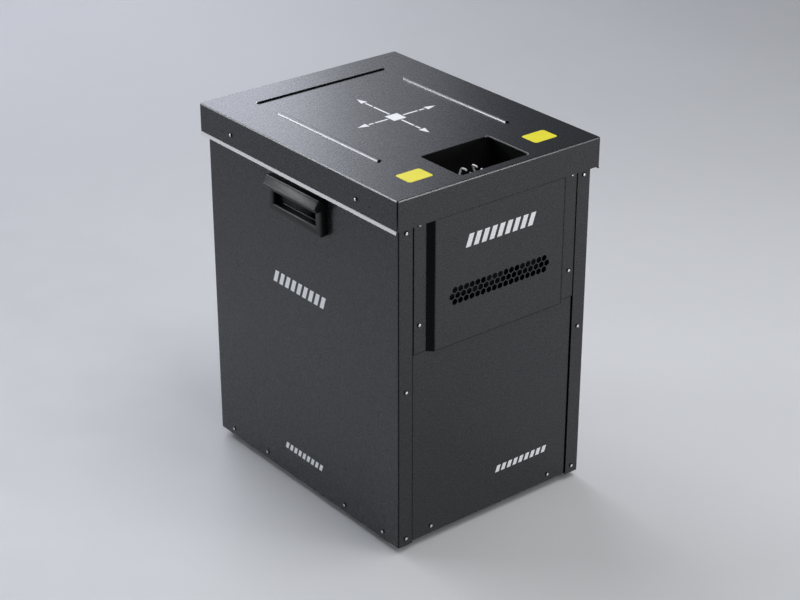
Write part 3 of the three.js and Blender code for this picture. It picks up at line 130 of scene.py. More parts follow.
def noise(tree, scale, detail=3.0, stretch=(1, 1, 1)):
    coords = tree.nodes.new("ShaderNodeTexCoord")
    mapping = tree.nodes.new("ShaderNodeMapping")
    mapping.inputs["Scale"].default_value = stretch
    texture = tree.nodes.new("ShaderNodeTexNoise")
    texture.inputs["Scale"].default_value = scale
    texture.inputs["Detail"].default_value = detail
    tree.links.new(coords.outputs["Object"], mapping.inputs["Vector"])
    tree.links.new(mapping.outputs["Vector"], texture.inputs["Vector"])
    return texture.outputs["Fac"]


def tones(tree, factor, low, high):
    ramp = tree.nodes.new("ShaderNodeValToRGB")
    ramp.color_ramp.elements[0].position = 0.3
    ramp.color_ramp.elements[0].color = (*low, 1)
    ramp.color_ramp.elements[1].position = 0.7
    ramp.color_ramp.elements[1].color = (*high, 1)
    tree.links.new(factor, ramp.inputs["Fac"])
    return ramp.outputs["Color"]


def spread(tree, factor, low, high):
    span = tree.nodes.new("ShaderNodeMapRange")
    span.inputs["From Min"].default_value = 0.3
    span.inputs["From Max"].default_value = 0.7
    span.inputs["To Min"].default_value = low
    span.inputs["To Max"].default_value = high
    tree.links.new(factor, span.inputs["Value"])
    return span.outputs["Result"]


def bump(tree, height, depth, strength=1.0, under=None):
    node = tree.nodes.new("ShaderNodeBump")
    if isinstance(strength, float):
        node.inputs["Strength"].default_value = strength
    else:
        tree.links.new(strength, node.inputs["Strength"])
    node.inputs["Distance"].default_value = depth
    tree.links.new(height, node.inputs["Height"])
    if under is not None:
        tree.links.new(under, node.inputs["Normal"])
    return node.outputs["Normal"]


def maths(tree, operation, first, second=0):
    node = tree.nodes.new("ShaderNodeMath")
    node.operation = operation
    for socket, value in zip(node.inputs, (first, second)):
        if isinstance(value, (int, float)):
            socket.default_value = value
        else:
            tree.links.new(value, socket)
    return node.outputs["Value"]


def mixed(tree, factor, first, second, blend="MIX"):
    node = tree.nodes.new("ShaderNodeMix")
    node.data_type = "RGBA"
    node.blend_type = blend
    for socket, value in (("Factor", factor), ("A", first), ("B", second)):
        if isinstance(value, (float, tuple)):
            node.inputs[socket].default_value = value
        else:
            tree.links.new(value, node.inputs[socket])
    return node.outputs["Result"]


def places(tree, kind):
    """X, Y and Z of the surface's own place ("Object") or of the way that it faces ("Normal")."""
    coords = tree.nodes.new("ShaderNodeTexCoord")
    split = tree.nodes.new("ShaderNodeSeparateXYZ")
    tree.links.new(coords.outputs[kind], split.inputs["Vector"])
    return [split.outputs[axis] for axis in "XYZ"]


def product(tree, *values):
    total = values[0]
    for value in values[1:]:
        total = maths(tree, "MULTIPLY", total, value)
    return total


def away_from(tree, value, centre):
    return maths(tree, "ABSOLUTE", maths(tree, "SUBTRACT", value, centre))


def surface(name, low, high, roughness, patch=9.0, grain=None, peel=None, stretch=(1, 1, 1), **shader_values):
    """A finish with two close tones, a varying roughness, and fine and coarse relief as (scale, depth)."""
    material, tree, shader = new_material(name, **shader_values)
    broad = noise(tree, patch, 4.0, stretch)
    tree.links.new(tones(tree, broad, low, high), shader.inputs["Base Color"])
    streaks = noise(tree, patch * 12, 3.0, stretch)
    tree.links.new(spread(tree, streaks, *roughness), shader.inputs["Roughness"])
    relief = None
    for layer in (peel, grain):
        if layer:
            scale, depth = layer
            relief = bump(tree, noise(tree, scale, 2.0, stretch), depth, 1.0, relief)
    if relief:
        tree.links.new(relief, shader.inputs["Normal"])
    return material


# Masks: each gives 1, or its share, in one part of a coat and 0 elsewhere
def upright_bends(tree):
    """1 where the surface turns a corner between the front or back and a side, 0 on the flat faces; the coat
    there gets painted shade.
    """
    x, y, _ = places(tree, "Normal")
    doubled = product(tree, maths(tree, "ABSOLUTE", product(tree, x, y)), 2)
    return maths(tree, "SMOOTH_MIN", product(tree, doubled, doubled), 1)


def behind_hood(tree):
    """1 on the part of the front panel that the vent hood covers, where no light falls."""
    x, _, z = places(tree, "Object")
    low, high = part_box("vent_hood")
    within = maths(tree, "LESS_THAN", maths(tree, "ABSOLUTE", x), high.x - SHEET_EDGE)
    above = maths(tree, "GREATER_THAN", z, low.z + SHEET_EDGE)
    return product(tree, within, above)


def flange_gap(tree):
    """1 in the narrow gaps between the side panels' folded flanges and the panels beside them, where the coat
    gets a painted shadow.
    """
    aside = maths(tree, "ABSOLUTE", places(tree, "Object")[0])
    return maths(tree, "LESS_THAN", away_from(tree, aside, FLANGE_GAP["aside"]), FLANGE_GAP["reach"])


def raised_bends(tree):
    """1 where the lid turns down over its edges and on its beads' flanks, where the coat gets a painted
    sheen.
    """
    level = maths(tree, "MAXIMUM", places(tree, "Normal")[2], 0)
    slope = maths(tree, "SQRT", maths(tree, "SUBTRACT", 1, product(tree, level, level)))
    doubled = product(tree, slope, level, 2)
    return product(tree, doubled, doubled)


def front_shade(tree):
    """1 on the first part of the lid's bend over its front edge and on the front sides of its beads."""
    _, facing_y, facing_z = places(tree, "Normal")
    turned_down = maths(tree, "LESS_THAN", facing_y, -FRONT_SHADE["turned"])
    still_level = maths(tree, "GREATER_THAN", facing_z, FRONT_SHADE["level"])
    faces_up = maths(tree, "GREATER_THAN", facing_z, FRONT_SHADE["upward"])
    behind_edge = maths(tree, "GREATER_THAN", places(tree, "Object")[1], FRONT_SHADE["beads_from"])
    on_beads = product(tree, faces_up, behind_edge)
    return product(tree, turned_down, maths(tree, "MAXIMUM", still_level, on_beads))


def lid_hem(tree):
    """1 on the flared hem under the lid's skirt, rubbed smooth."""
    return maths(tree, "LESS_THAN", places(tree, "Object")[2], HEM_TOP)


def hood_bars(tree):
    """1 on the row of plain slanted bars printed flush on the vent hood's face."""
    x, y, z = places(tree, "Object")
    level = maths(tree, "SUBTRACT", z, HOOD_BARS["level"])
    upright = maths(tree, "SUBTRACT", x, product(tree, level, BAR_SLANT))
    pitches = maths(tree, "DIVIDE", upright, HOOD_BARS["width"] / BAR_COUNT)
    cell = maths(tree, "FRACT", maths(tree, "ADD", pitches, BAR_COUNT / 2))
    in_bar = maths(tree, "LESS_THAN", away_from(tree, cell, 0.5), BAR_SHARE / 2)
    in_row = maths(tree, "LESS_THAN", maths(tree, "ABSOLUTE", upright), HOOD_BARS["width"] / 2)
    in_height = maths(tree, "LESS_THAN", maths(tree, "ABSOLUTE", level), HOOD_BARS["height"] / 2)
    on_face = maths(tree, "LESS_THAN", y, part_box("vent_hood")[0].y + SHEET_EDGE)
    return product(tree, in_bar, in_row, in_height, on_face)


def hood_outline(tree):
    """Part dark along the vent hood's lower edge and the two folds beside its face: painted shade on the
    folds and a painted shadow line along the lower edge.
    """
    x, y, z = places(tree, "Object")
    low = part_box("vent_hood")[0]
    aside = away_from(tree, maths(tree, "ABSOLUTE", x), HOOD_EDGE["aside"])
    on_fold = maths(tree, "LESS_THAN", aside, HOOD_EDGE["reach"])
    on_face = maths(tree, "LESS_THAN", y, low.y + 2 * SHEET_EDGE)
    on_edge = maths(tree, "LESS_THAN", z, low.z + HOOD_EDGE["low"])
    outline = maths(tree, "MAXIMUM", product(tree, on_fold, on_face), on_edge)
    return product(tree, outline, HOOD_EDGE["share"])


def opening_highlight(tree):
    """Part pale on a narrow band along the right side of the nozzle opening: a painted highlight."""
    x, y, _ = places(tree, "Object")
    corner = OPENING["corner"]
    half_width, half_depth = OPENING["width"] / 2 - corner, OPENING["depth"] / 2 - corner
    level = away_from(tree, y, OPENING["middle"])
    across = maths(tree, "MAXIMUM", maths(tree, "SUBTRACT", x, half_width), 0)
    along = maths(tree, "MAXIMUM", maths(tree, "SUBTRACT", level, half_depth), 0)
    squares = maths(tree, "ADD", maths(tree, "POWER", across, 2), maths(tree, "POWER", along, 2))
    within = maths(tree, "LESS_THAN", maths(tree, "SQRT", squares), corner + OPENING["rim"])
    on_right = maths(tree, "GREATER_THAN", x, half_width)
    return product(tree, within, on_right, OPENING["share"])


def powder_coat(name, painted_shade_places, rubbed_place=None, painted_sheen_place=None, print_and_highlight_place=None):
    """Fine textured powder coat with painted shade (near black and metallic), a rubbed smooth place, painted
    sheen (pale and metallic), and print and a painted highlight in given places.
    """
    material, tree, shader = new_material(name, Specular_IOR_Level=0.5)
    body = tones(tree, noise(tree, 5.0, detail=4.0), (0.0150, 0.0158, 0.0188), (0.0178, 0.0186, 0.0220))
    speck = tones(tree, noise(tree, 1000.0, detail=1.0), (0.94, 0.94, 0.94), (1.06, 1.06, 1.06))
    coat = mixed(tree, 1.0, body, speck, "MULTIPLY")
    # Painted shade: near black and metallic where a shade mask gives 1, so that little light shows there
    dark = 0.0
    for place in painted_shade_places:
        dark = maths(tree, "MAXIMUM", place(tree), dark)
    metal = product(tree, dark, COAT["shade_metal"])
    coat = mixed(tree, dark, coat, (0.002, 0.002, 0.003, 1))
    # Painted sheen: a pale metallic coat that stands in for highlights where the sheen mask gives 1
    if painted_sheen_place:
        painted_sheen = product(tree, painted_sheen_place(tree), maths(tree, "SUBTRACT", 1, dark))
        coat = mixed(tree, painted_sheen, coat, (0.32, 0.32, 0.33, 1))
        metal = maths(tree, "MAXIMUM", metal, product(tree, painted_sheen, COAT["sheen_metal"]))
    # Pale print, and on the lid a painted highlight along the opening's rim
    if print_and_highlight_place:
        coat = mixed(tree, print_and_highlight_place(tree), coat, (0.95, 0.96, 0.97, 1))
    tree.links.new(coat, shader.inputs["Base Color"])
    tree.links.new(metal, shader.inputs["Metallic"])
    roughness = spread(tree, noise(tree, 300.0), 0.25, 0.30)
    if rubbed_place:
        rubbed = product(tree, rubbed_place(tree), COAT["rubbed"])
        roughness = product(tree, roughness, maths(tree, "SUBTRACT", 1, rubbed))
    tree.links.new(roughness, shader.inputs["Roughness"])
    texture = maths(tree, "SUBTRACT", 1, painted_sheen) if painted_sheen_place else 1.0
    peel = bump(tree, noise(tree, 420.0, detail=2.0), 0.00004, texture)
    grain = bump(tree, noise(tree, 1300.0, detail=1.0), 0.00002, texture, peel)
    tree.links.new(grain, shader.inputs["Normal"])
    return material


def zinc_screw():
    """Bright zinc on the crown of a screw, with painted shade darkening it towards its rim, about the screw's
    own axis.
    """
    material, tree, shader = new_material("zinc_screw", metallic=1.0)
    coords = tree.nodes.new("ShaderNodeTexCoord")
    flat = tree.nodes.new("ShaderNodeMapping")
    flat.inputs["Scale"].default_value = (1, 1, 0)
    tree.links.new(coords.outputs["Object"], flat.inputs["Vector"])
    reach = tree.nodes.new("ShaderNodeVectorMath")
    reach.operation = "LENGTH"
    tree.links.new(flat.outputs["Vector"], reach.inputs["Vector"])
    # Painted shade: from about half the head's radius outward the zinc turns near black
    rim = tree.nodes.new("ShaderNodeMapRange")
    rim.inputs["From Min"].default_value = SCREW["bright"] * SCREW["radius"]
    rim.inputs["From Max"].default_value = SCREW["rim_shade"] * SCREW["radius"]
    tree.links.new(reach.outputs["Value"], rim.inputs["Value"])
    crown = tones(tree, noise(tree, 900.0), (0.92, 0.92, 0.93), (0.99, 0.99, 1.0))
    colour = mixed(tree, rim.outputs["Result"], crown, (0.006, 0.006, 0.007, 1))
    tree.links.new(colour, shader.inputs["Base Color"])
    tree.links.new(spread(tree, noise(tree, 1200.0), 0.28, 0.38), shader.inputs["Roughness"])
    return material


def heat_tint_and_highlight_steel():
    """Electrode wire: pale oxide over steel, straw and blue where the spark heats it, and lighter towards the
    top as a painted highlight.
    """
    material, tree, shader = new_material("heat_tint_and_highlight_steel")
    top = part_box("electrode_rear_left")[1].z
    height = tree.nodes.new("ShaderNodeMapRange")
    height.inputs["From Min"].default_value = top - TINTED_AND_LIT_LENGTH
    height.inputs["From Max"].default_value = top
    tree.links.new(places(tree, "Object")[2], height.inputs["Value"])
    # Grey low down, straw and blue heat tint higher, near white at the top as a painted highlight
    ramp = tree.nodes.new("ShaderNodeValToRGB")
    stops = (
        (0.0, (0.62, 0.62, 0.62)), (0.55, (0.72, 0.68, 0.60)),
        (0.80, (0.84, 0.83, 0.86)), (1.0, (0.97, 0.97, 0.98)),
    )
    while len(ramp.color_ramp.elements) < len(stops):
        ramp.color_ramp.elements.new(0.5)
    for element, (position, colour) in zip(ramp.color_ramp.elements, stops):
        element.position = position
        element.color = (*colour, 1)
    tree.links.new(height.outputs["Result"], ramp.inputs["Fac"])
    tree.links.new(ramp.outputs["Color"], shader.inputs["Base Color"])
    tree.links.new(spread(tree, noise(tree, 500.0), 0.30, 0.42), shader.inputs["Roughness"])
    return material


def circuit_board():
    """Green lacquer over copper tracks, as a grid of rounded cells."""
    material, tree, shader = new_material("circuit_board")
    coords = tree.nodes.new("ShaderNodeTexCoord")
    tracks = tree.nodes.new("ShaderNodeTexVoronoi")
    tracks.distance = "MANHATTAN"
    tracks.feature = "DISTANCE_TO_EDGE"
    tracks.inputs["Scale"].default_value = 160.0
    tree.links.new(coords.outputs["Object"], tracks.inputs["Vector"])
    edge = tree.nodes.new("ShaderNodeMapRange")
    edge.inputs["From Min"].default_value = 0.02
    edge.inputs["From Max"].default_value = 0.10
    edge.inputs["To Min"].default_value = 0.3
    edge.inputs["To Max"].default_value = 0.7
    tree.links.new(tracks.outputs["Distance"], edge.inputs["Value"])
    colour = tones(tree, edge.outputs["Result"], (0.030, 0.190, 0.060), (0.008, 0.085, 0.030))
    tree.links.new(colour, shader.inputs["Base Color"])
    tree.links.new(spread(tree, noise(tree, 80.0), 0.25, 0.35), shader.inputs["Roughness"])
    tree.links.new(bump(tree, edge.outputs["Result"], 0.00005), shader.inputs["Normal"])
    return material


finishes = {
    "powder_coat": powder_coat("powder_coat", [upright_bends]),
    # Inside of the chamber: its dark paint, darkened further to near black as painted shade
    "dark_inside": surface(
        "dark_inside", (0.002, 0.002, 0.002), (0.005, 0.0045, 0.004), (0.60, 0.85), 30.0,
        (900.0, 0.00006), (90.0, 0.0001), Specular_IOR_Level=0.2,
    ),
    "steel": surface(
        "steel", (0.36, 0.37, 0.39), (0.46, 0.47, 0.49), (0.28, 0.42), 20.0,
        (700.0, 0.00001), None, STEEL_GRAIN, metallic=1.0,
    ),
    "bright_steel": surface(
        "bright_steel", (0.58, 0.58, 0.60), (0.68, 0.68, 0.69), (0.14, 0.26), 30.0,
        (800.0, 0.000008), metallic=1.0,
    ),
    "brass": surface(
        "brass", (0.50, 0.33, 0.10), (0.62, 0.43, 0.16), (0.20, 0.36), 40.0, (900.0, 0.00001), metallic=1.0,
    ),
    "cast_aluminium": surface(
        "cast_aluminium", (0.33, 0.34, 0.35), (0.43, 0.44, 0.45), (0.42, 0.58), 30.0,
        (500.0, 0.00012), metallic=1.0,
    ),
    "black_plastic": surface(
        "black_plastic", (0.016, 0.016, 0.018), (0.024, 0.024, 0.027), (0.36, 0.50), 20.0,
        (1300.0, 0.00005), (260.0, 0.00003),
    ),
    "grey_plastic": surface(
        "grey_plastic", (0.14, 0.145, 0.155), (0.18, 0.185, 0.195), (0.40, 0.52), 25.0, (1300.0, 0.00004)
    ),
    "rubber": surface(
        "rubber", (0.009, 0.009, 0.009), (0.018, 0.018, 0.018), (0.70, 0.88), 40.0, (700.0, 0.00008)
    ),
    "ceramic": surface(
        "ceramic", (0.72, 0.68, 0.60), (0.82, 0.79, 0.72), (0.10, 0.22), 60.0,
        (300.0, 0.00002), Coat_Weight=0.4,
    ),
    "tank_plastic": surface(
        "tank_plastic", (0.66, 0.64, 0.56), (0.74, 0.72, 0.64), (0.34, 0.48), 14.0,
        (600.0, 0.00006), (60.0, 0.0002), Subsurface_Weight=0.15, Subsurface_Scale=0.01,
    ),
    "red_cap": surface(
        "red_cap", (0.40, 0.020, 0.012), (0.50, 0.030, 0.018), (0.30, 0.42), 30.0, (900.0, 0.00004)
    ),
    "board_green": circuit_board(),
    "screen": surface(
        "screen", (0.010, 0.011, 0.012), (0.014, 0.015, 0.016), (0.30, 0.40), 30.0, (1200.0, 0.00002)
    ),
    "motor_black": surface(
        "motor_black", (0.014, 0.015, 0.017), (0.024, 0.025, 0.028), (0.30, 0.45), 20.0, (500.0, 0.00008)
    ),
}
covered_coat = powder_coat("covered_coat", [behind_hood, flange_gap])
flanged_coat = powder_coat("flanged_coat", [upright_bends, flange_gap])
hood_coat = powder_coat("hood_coat", [upright_bends, flange_gap, hood_outline], print_and_highlight_place=hood_bars)
lid_coat = powder_coat("lid_coat", [upright_bends, front_shade], lid_hem, raised_bends, opening_highlight)
pull_plastic = surface(
    "pull_plastic", (0.005, 0.005, 0.006), (0.008, 0.008, 0.009), (0.28, 0.34), 20.0,
    (1300.0, 0.00003), (260.0, 0.00001), Specular_IOR_Level=0.36,
)
fan_black = surface(
    "fan_black", (0.002, 0.002, 0.002), (0.004, 0.004, 0.004), (0.5, 0.6), 60.0, Specular_IOR_Level=0.15,
)
heat_tint_and_highlight = heat_tint_and_highlight_steel()
screw_steel = zinc_screw()
# Near black for holes and slots: painted shade in place of their hollows
painted_hole_shade = surface("painted_hole_shade", (0.003, 0.003, 0.003), (0.007, 0.007, 0.007), (0.7, 0.9), 200.0)
print_white = surface(
    "print_white", (0.93, 0.94, 0.96), (0.97, 0.98, 0.99), (0.42, 0.52), 60.0, (1200.0, 0.00003),
)
print_yellow = surface(
    "print_yellow", (0.90, 0.80, 0.020), (0.97, 0.88, 0.04), (0.32, 0.42), 60.0, (1000.0, 0.00002),
)
blue_plastic = surface(
    "blue_plastic", (0.012, 0.09, 0.36), (0.018, 0.12, 0.44), (0.30, 0.42), 40.0, (1100.0, 0.00003),
)
pale_plastic = surface(
    "pale_plastic", (0.52, 0.53, 0.54), (0.60, 0.61, 0.62), (0.34, 0.46), 40.0, (1100.0, 0.00003),
)
display_glass = surface(
    "display_glass", (0.010, 0.016, 0.022), (0.018, 0.028, 0.040), (0.04, 0.09), 18.0,
    None, (30.0, 0.00001), Coat_Weight=1.0,
)


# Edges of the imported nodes: coplanar faces are merged, then rounded and shaded by the angle between faces
def smooth_tree():
    tree = bpy.data.node_groups.new("smooth_by_angle", "GeometryNodeTree")
    tree.interface.new_socket("Geometry", in_out="INPUT", socket_type="NodeSocketGeometry")
    tree.interface.new_socket("Geometry", in_out="OUTPUT", socket_type="NodeSocketGeometry")
    start = tree.nodes.new("NodeGroupInput")
    end = tree.nodes.new("NodeGroupOutput")
    faces = tree.nodes.new("GeometryNodeSetShadeSmooth")
    edges = tree.nodes.new("GeometryNodeSetShadeSmooth")
    edges.domain = "EDGE"
    edges.inputs["Shade Smooth"].default_value = False
    angle = tree.nodes.new("GeometryNodeInputMeshEdgeAngle")
    sharp = tree.nodes.new("FunctionNodeCompare")
    sharp.operation = "GREATER_THAN"
    sharp.inputs["B"].default_value = math.radians(SMOOTH_DEGREES)
    tree.links.new(start.outputs["Geometry"], faces.inputs["Geometry"])
    tree.links.new(faces.outputs["Geometry"], edges.inputs["Geometry"])
    tree.links.new(angle.outputs["Unsigned Angle"], sharp.inputs["A"])
    tree.links.new(sharp.outputs["Result"], edges.inputs["Selection"])
    tree.links.new(edges.outputs["Geometry"], end.inputs["Geometry"])
    return tree


smooth_group = smooth_tree()


def weld(piece):
    joined = piece.modifiers.new("join_split_corners", "WELD")
    joined.merge_threshold = WELD_REACH


def soften(piece, width=SHEET_EDGE, segments=2, clamped=True):
    flat = piece.modifiers.new("merge_flat_faces", "DECIMATE")
    flat.decimate_type = "DISSOLVE"
    flat.angle_limit = math.radians(FLAT_DEGREES)
    edge = piece.modifiers.new("edges", "BEVEL")
    edge.width = width
    edge.segments = segments
    edge.limit_method = "ANGLE"
    edge.angle_limit = math.radians(SMOOTH_DEGREES)
    edge.use_clamp_overlap = clamped
    shading = piece.modifiers.new("shading", "NODES")
    shading.node_group = smooth_group


# Geometry helpers
AXES = {
    "front": (Vector((1, 0, 0)), Vector((0, 0, 1))),
    "back": (Vector((-1, 0, 0)), Vector((0, 0, 1))),
    "left": (Vector((0, -1, 0)), Vector((0, 0, 1))),
    "right": (Vector((0, 1, 0)), Vector((0, 0, 1))),
    "top": (Vector((1, 0, 0)), Vector((0, 1, 0))),
}


def facing(side, point):
    """A place on a face of the cabinet: local X and Y lie in the face and local Z points out of it."""
    across, up = AXES[side]
    out = across.cross(up)
    turn = Matrix((across, up, out)).transposed().to_4x4()
    return Matrix.Translation(Vector(point)) @ turn


def add(name, mesh, material, place, body="cabinet"):
    mesh.materials.clear()
    mesh.materials.append(material)
    piece = bpy.data.objects.new(name, mesh)
    bpy.context.scene.collection.objects.link(piece)
    piece.matrix_world = place
    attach(piece, body)
    return piece


def to_mesh(name, shape):
    bmesh.ops.recalc_face_normals(shape, faces=shape.faces)
    for face in shape.faces:
        face.smooth = True
    mesh = bpy.data.meshes.new(name)
    shape.to_mesh(mesh)
    shape.free()
    return mesh


def turned(name, profile, steps, ring=False):
    """A turned piece about local Z: pairs of radius and height, closed on the axis or on itself."""
    shape = bmesh.new()
    rings = []
    for radius, height in profile:
        if radius == 0:
            rings.append([shape.verts.new((0, 0, height))])
            continue
        angles = [2 * math.pi * i / steps for i in range(steps)]
        rings.append([shape.verts.new((radius * math.cos(a), radius * math.sin(a), height)) for a in angles])
    pairs = list(zip(rings, rings[1:]))
    if ring:
        pairs.append((rings[-1], rings[0]))
    for low, high in pairs:
        for i in range(steps):
            j = (i + 1) % steps
            quad = (low[i % len(low)], low[j % len(low)], high[j % len(high)], high[i % len(high)])
            corners = list(dict.fromkeys(quad))
            if len(corners) > 2:
                shape.faces.new(corners)
    return to_mesh(name, shape)


def arc(centre, radius, start, end, steps=6):
    angles = [math.radians(start + (end - start) * i / steps) for i in range(steps + 1)]
    return [(centre[0] + radius * math.cos(a), centre[1] + radius * math.sin(a)) for a in angles]


def rounded(width, height, corner, centre=(0, 0)):
    x, y = width / 2 - corner, height / 2 - corner
    spots = ((x, -y, -90), (x, y, 0), (-x, y, 90), (-x, -y, 180))
    points = []
    for u, v, start in spots:
        points += arc((centre[0] + u, centre[1] + v), corner, start, start + 90)
    return points


def slab(name, outlines, low, high):
    """Flat plates with the given outlines, from low to high along local Z."""
    shape = bmesh.new()
    for points in outlines:
        bottom = [shape.verts.new((x, y, low)) for x, y in points]
        top = [shape.verts.new((x, y, high)) for x, y in points]
        shape.faces.new(bottom)
        shape.faces.new(top)
        for i, corner in enumerate(bottom):
            j = (i + 1) % len(bottom)
            shape.faces.new((corner, bottom[j], top[j], top[i]))
    bmesh.ops.recalc_face_normals(shape, faces=shape.faces)
    mesh = bpy.data.meshes.new(name)
    shape.to_mesh(mesh)
    shape.free()
    return mesh


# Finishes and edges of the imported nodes
slot_of = {part["node"]: part["material_slot"] for part in frame["record"]["subparts"]}
SOFT_NODES = {
    "display_window", "power_switch_housing", "power_switch_rocker",
    "fuel_tank", "filler_neck", "tank_cap", "door_latch", "pump_motor", "pump_head", "drive_coupling",
}
BARE_NODES = {"suction_hose", "pressure_pipe", "ignition_lead_left", "ignition_lead_right", "fan_rotor"}
own_finishes = {
    "front_panel": covered_coat, "left_side_panel": flanged_coat, "right_side_panel": flanged_coat,
    "vent_hood": hood_coat, "back_panel": flanged_coat, "lid": lid_coat,
    "left_pull_handle": pull_plastic, "right_pull_handle": pull_plastic,
    "fan_frame": fan_black, "fan_rotor": fan_black, "display_window": display_glass,
}
for node in frame["nodes"]:
    if node.startswith("electrode"):
        own_finishes[node] = heat_tint_and_highlight
    elif node.startswith("menu_button"):
        own_finishes[node] = pale_plastic
for node, piece in frame["nodes"].items():
    piece.data.materials.clear()
    piece.data.materials.append(own_finishes.get(node, finishes[slot_of[node]]))
    if node in BARE_NODES:
        weld(piece)
        piece.modifiers.new("shading", "NODES").node_group = smooth_group
    elif node.endswith("pull_handle"):
        weld(piece)
        soften(piece, PULL_EDGE, segments=4, clamped=False)
    elif node in SOFT_NODES:
        weld(piece)
        soften(piece, SOFT_EDGE)
    else:
        soften(piece)


# Screws
def screw_mesh():
    radius, height = SCREW["radius"], SCREW["height"]
    dome = arc((0, 0), 1, start=78, end=0, steps=8)
    skirt = SCREW["washer"]
    crown = [(radius * x, skirt + (height - skirt) * y) for x, y in dome]
    mesh = turned("screw", [(0, height), *crown, (radius, 0), (0, 0)], steps=24)
    head = bpy.data.objects.new("screw_head", mesh)
    length, blade = 2 * SCREW["cross"], SCREW["blade"]
    cutters = []
    for across, along in ((length, blade), (blade, length)):
        arm = slab("arm", [rounded(across, along, blade / 3)], height - SCREW["deep"], 2 * height)
        cutters.append(bpy.data.objects.new("cutter", arm))
    for item in (head, *cutters):
        bpy.context.scene.collection.objects.link(item)
    for cutter in cutters:
        cut = head.modifiers.new("recess", "BOOLEAN")
        cut.object = cutter
        cut.solver = "EXACT"
    bpy.context.view_layer.update()
    finished = bpy.data.meshes.new_from_object(head.evaluated_get(bpy.context.evaluated_depsgraph_get()))
    for item in (head, *cutters):
        bpy.data.objects.remove(item)
    finished.name = "screw"
    return finished


screw = screw_mesh()


def screws(group, side, points):
    for i, point in enumerate(points):
        turn = SCREW["step"] * i + SCREW["turn"]
        place = facing(side, point) @ Matrix.Rotation(turn, 4, "Z")
        piece = add(f"screw_{group}_{i + 1}", screw, screw_steel, place)
        piece.modifiers.new("shading", "NODES").node_group = smooth_group


side_low, side_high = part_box("left_side_panel")
front_low, front_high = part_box("front_panel")
lid_low, lid_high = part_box("lid")
sheet = front_high.y - front_low.y
lid_side = lid_low.x + HEM_OUT
lid_top = lid_high.z - BEAD_RISE
for name, side, y in (("front", "front", side_low.y), ("back", "back", side_high.y)):
    spots = [(sign * FLANGE_SCREW_X, y, z) for sign in (-1, 1) for z in FLANGE_SCREWS_Z]
    screws(f"{name}_flange", side, spots)
screws("front_foot", "front", [(sign * FRONT_SCREW[0], front_low.y, FRONT_SCREW[1]) for sign in (-1, 1)])
hood_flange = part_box("vent_hood")[1].y - sheet
screws("hood", "front", [(sign * HOOD_SCREW_X, hood_flange, z) for sign in (-1, 1) for z in HOOD_SCREWS_Z])
for name, sign in (("left", -1), ("right", 1)):
    screws(f"{name}_foot", name, [(sign * abs(side_low.x), y, SIDE_SCREW_Z) for y in SIDE_SCREWS_Y])
    screws(f"{name}_lid", name, [(sign * abs(lid_side), y, z) for y, z in LID_SCREWS])


# Small punched holes beside the lid's screws, drawn as flat near-black discs: painted shade in place of the
# holes' hollows
def punched_holes():
    profile = [(0, 0), (HOLE_RADIUS, 0), (HOLE_RADIUS, PRINT / 2), (0, PRINT / 2)]
    mesh = turned("punched_hole", profile, steps=20)
    for name, sign in (("left", -1), ("right", 1)):
        for i, (y, z) in enumerate(LID_HOLES):
            place = facing(name, (sign * abs(lid_side), y, z))
            add(f"lid_hole_{name}_{i + 1}", mesh, painted_hole_shade, place)


punched_holes()


# Direction guide on the lid: a square with an arrow of plain bars to each side
def direction_guide():
    half, width, head = GUIDE["square"] / 2, GUIDE["width"], GUIDE["head"]
    shapes = [[(-half, -half), (half, -half), (half, half), (-half, half)]]
    for dx, dy, reach in GUIDE_ARMS:
        gap = width / 2
        first = half + gap
        last = reach - GUIDE["tip"] * head
        middle = first + GUIDE["break"] * (last - first)
        bars = ((first, middle), (middle + gap, last - gap))
        for start, end in bars:
            corners = ((start, -width / 4), (end, -width / 4), (end, width / 4), (start, width / 4))
            shapes.append([(u * dx - v * dy, u * dy + v * dx) for u, v in corners])
        tip = ((last, -head / 2), (reach, 0), (last, head / 2))
        shapes.append([(u * dx - v * dy, u * dy + v * dx) for u, v in tip])
    mesh = slab("direction_guide", shapes, 0, PRINT)
    add("direction_guide", mesh, print_white, facing("top", (*GUIDE["centre"], lid_top)))


direction_guide()


# Plain yellow patches on both sides of the nozzle opening
def yellow_patches():
    mesh = slab("yellow_patch", [rounded(PATCH["width"], PATCH["depth"], PATCH["corner"])], 0, PRINT)
    for i, (x, y) in enumerate(PATCHES):
        add(f"yellow_patch_{i + 1}", mesh, print_yellow, facing("top", (x, y, lid_top)))


yellow_patches()


# Rows of plain slanted bars
def slanted_bars(name, side, centre, width, height):
    pitch = width / BAR_COUNT
    bar, slant = BAR_SHARE * pitch, BAR_SLANT * height
    shapes = []
    corners = ((-1, -1), (1, -1), (1, 1), (-1, 1))
    for i in range(BAR_COUNT):
        u = -width / 2 + (i + 0.5) * pitch
        shapes.append([(u + x * bar / 2 + slant * y / 2, y * height / 2) for x, y in corners])
    add(name, slab(name, shapes, 0, PRINT), print_white, facing(side, centre))


slanted_bars("bars_front", "front", (0.056, front_low.y, 0.068), 0.096, 0.010)
slanted_bars("bars_left", "left", (side_low.x, 0.004, 0.318), 0.120, 0.018)
slanted_bars("bars_left_low", "left", (side_low.x, 0.002, 0.055), 0.090, 0.010)
slanted_bars("bars_right", "right", (-side_low.x, 0.004, 0.318), 0.120, 0.018)


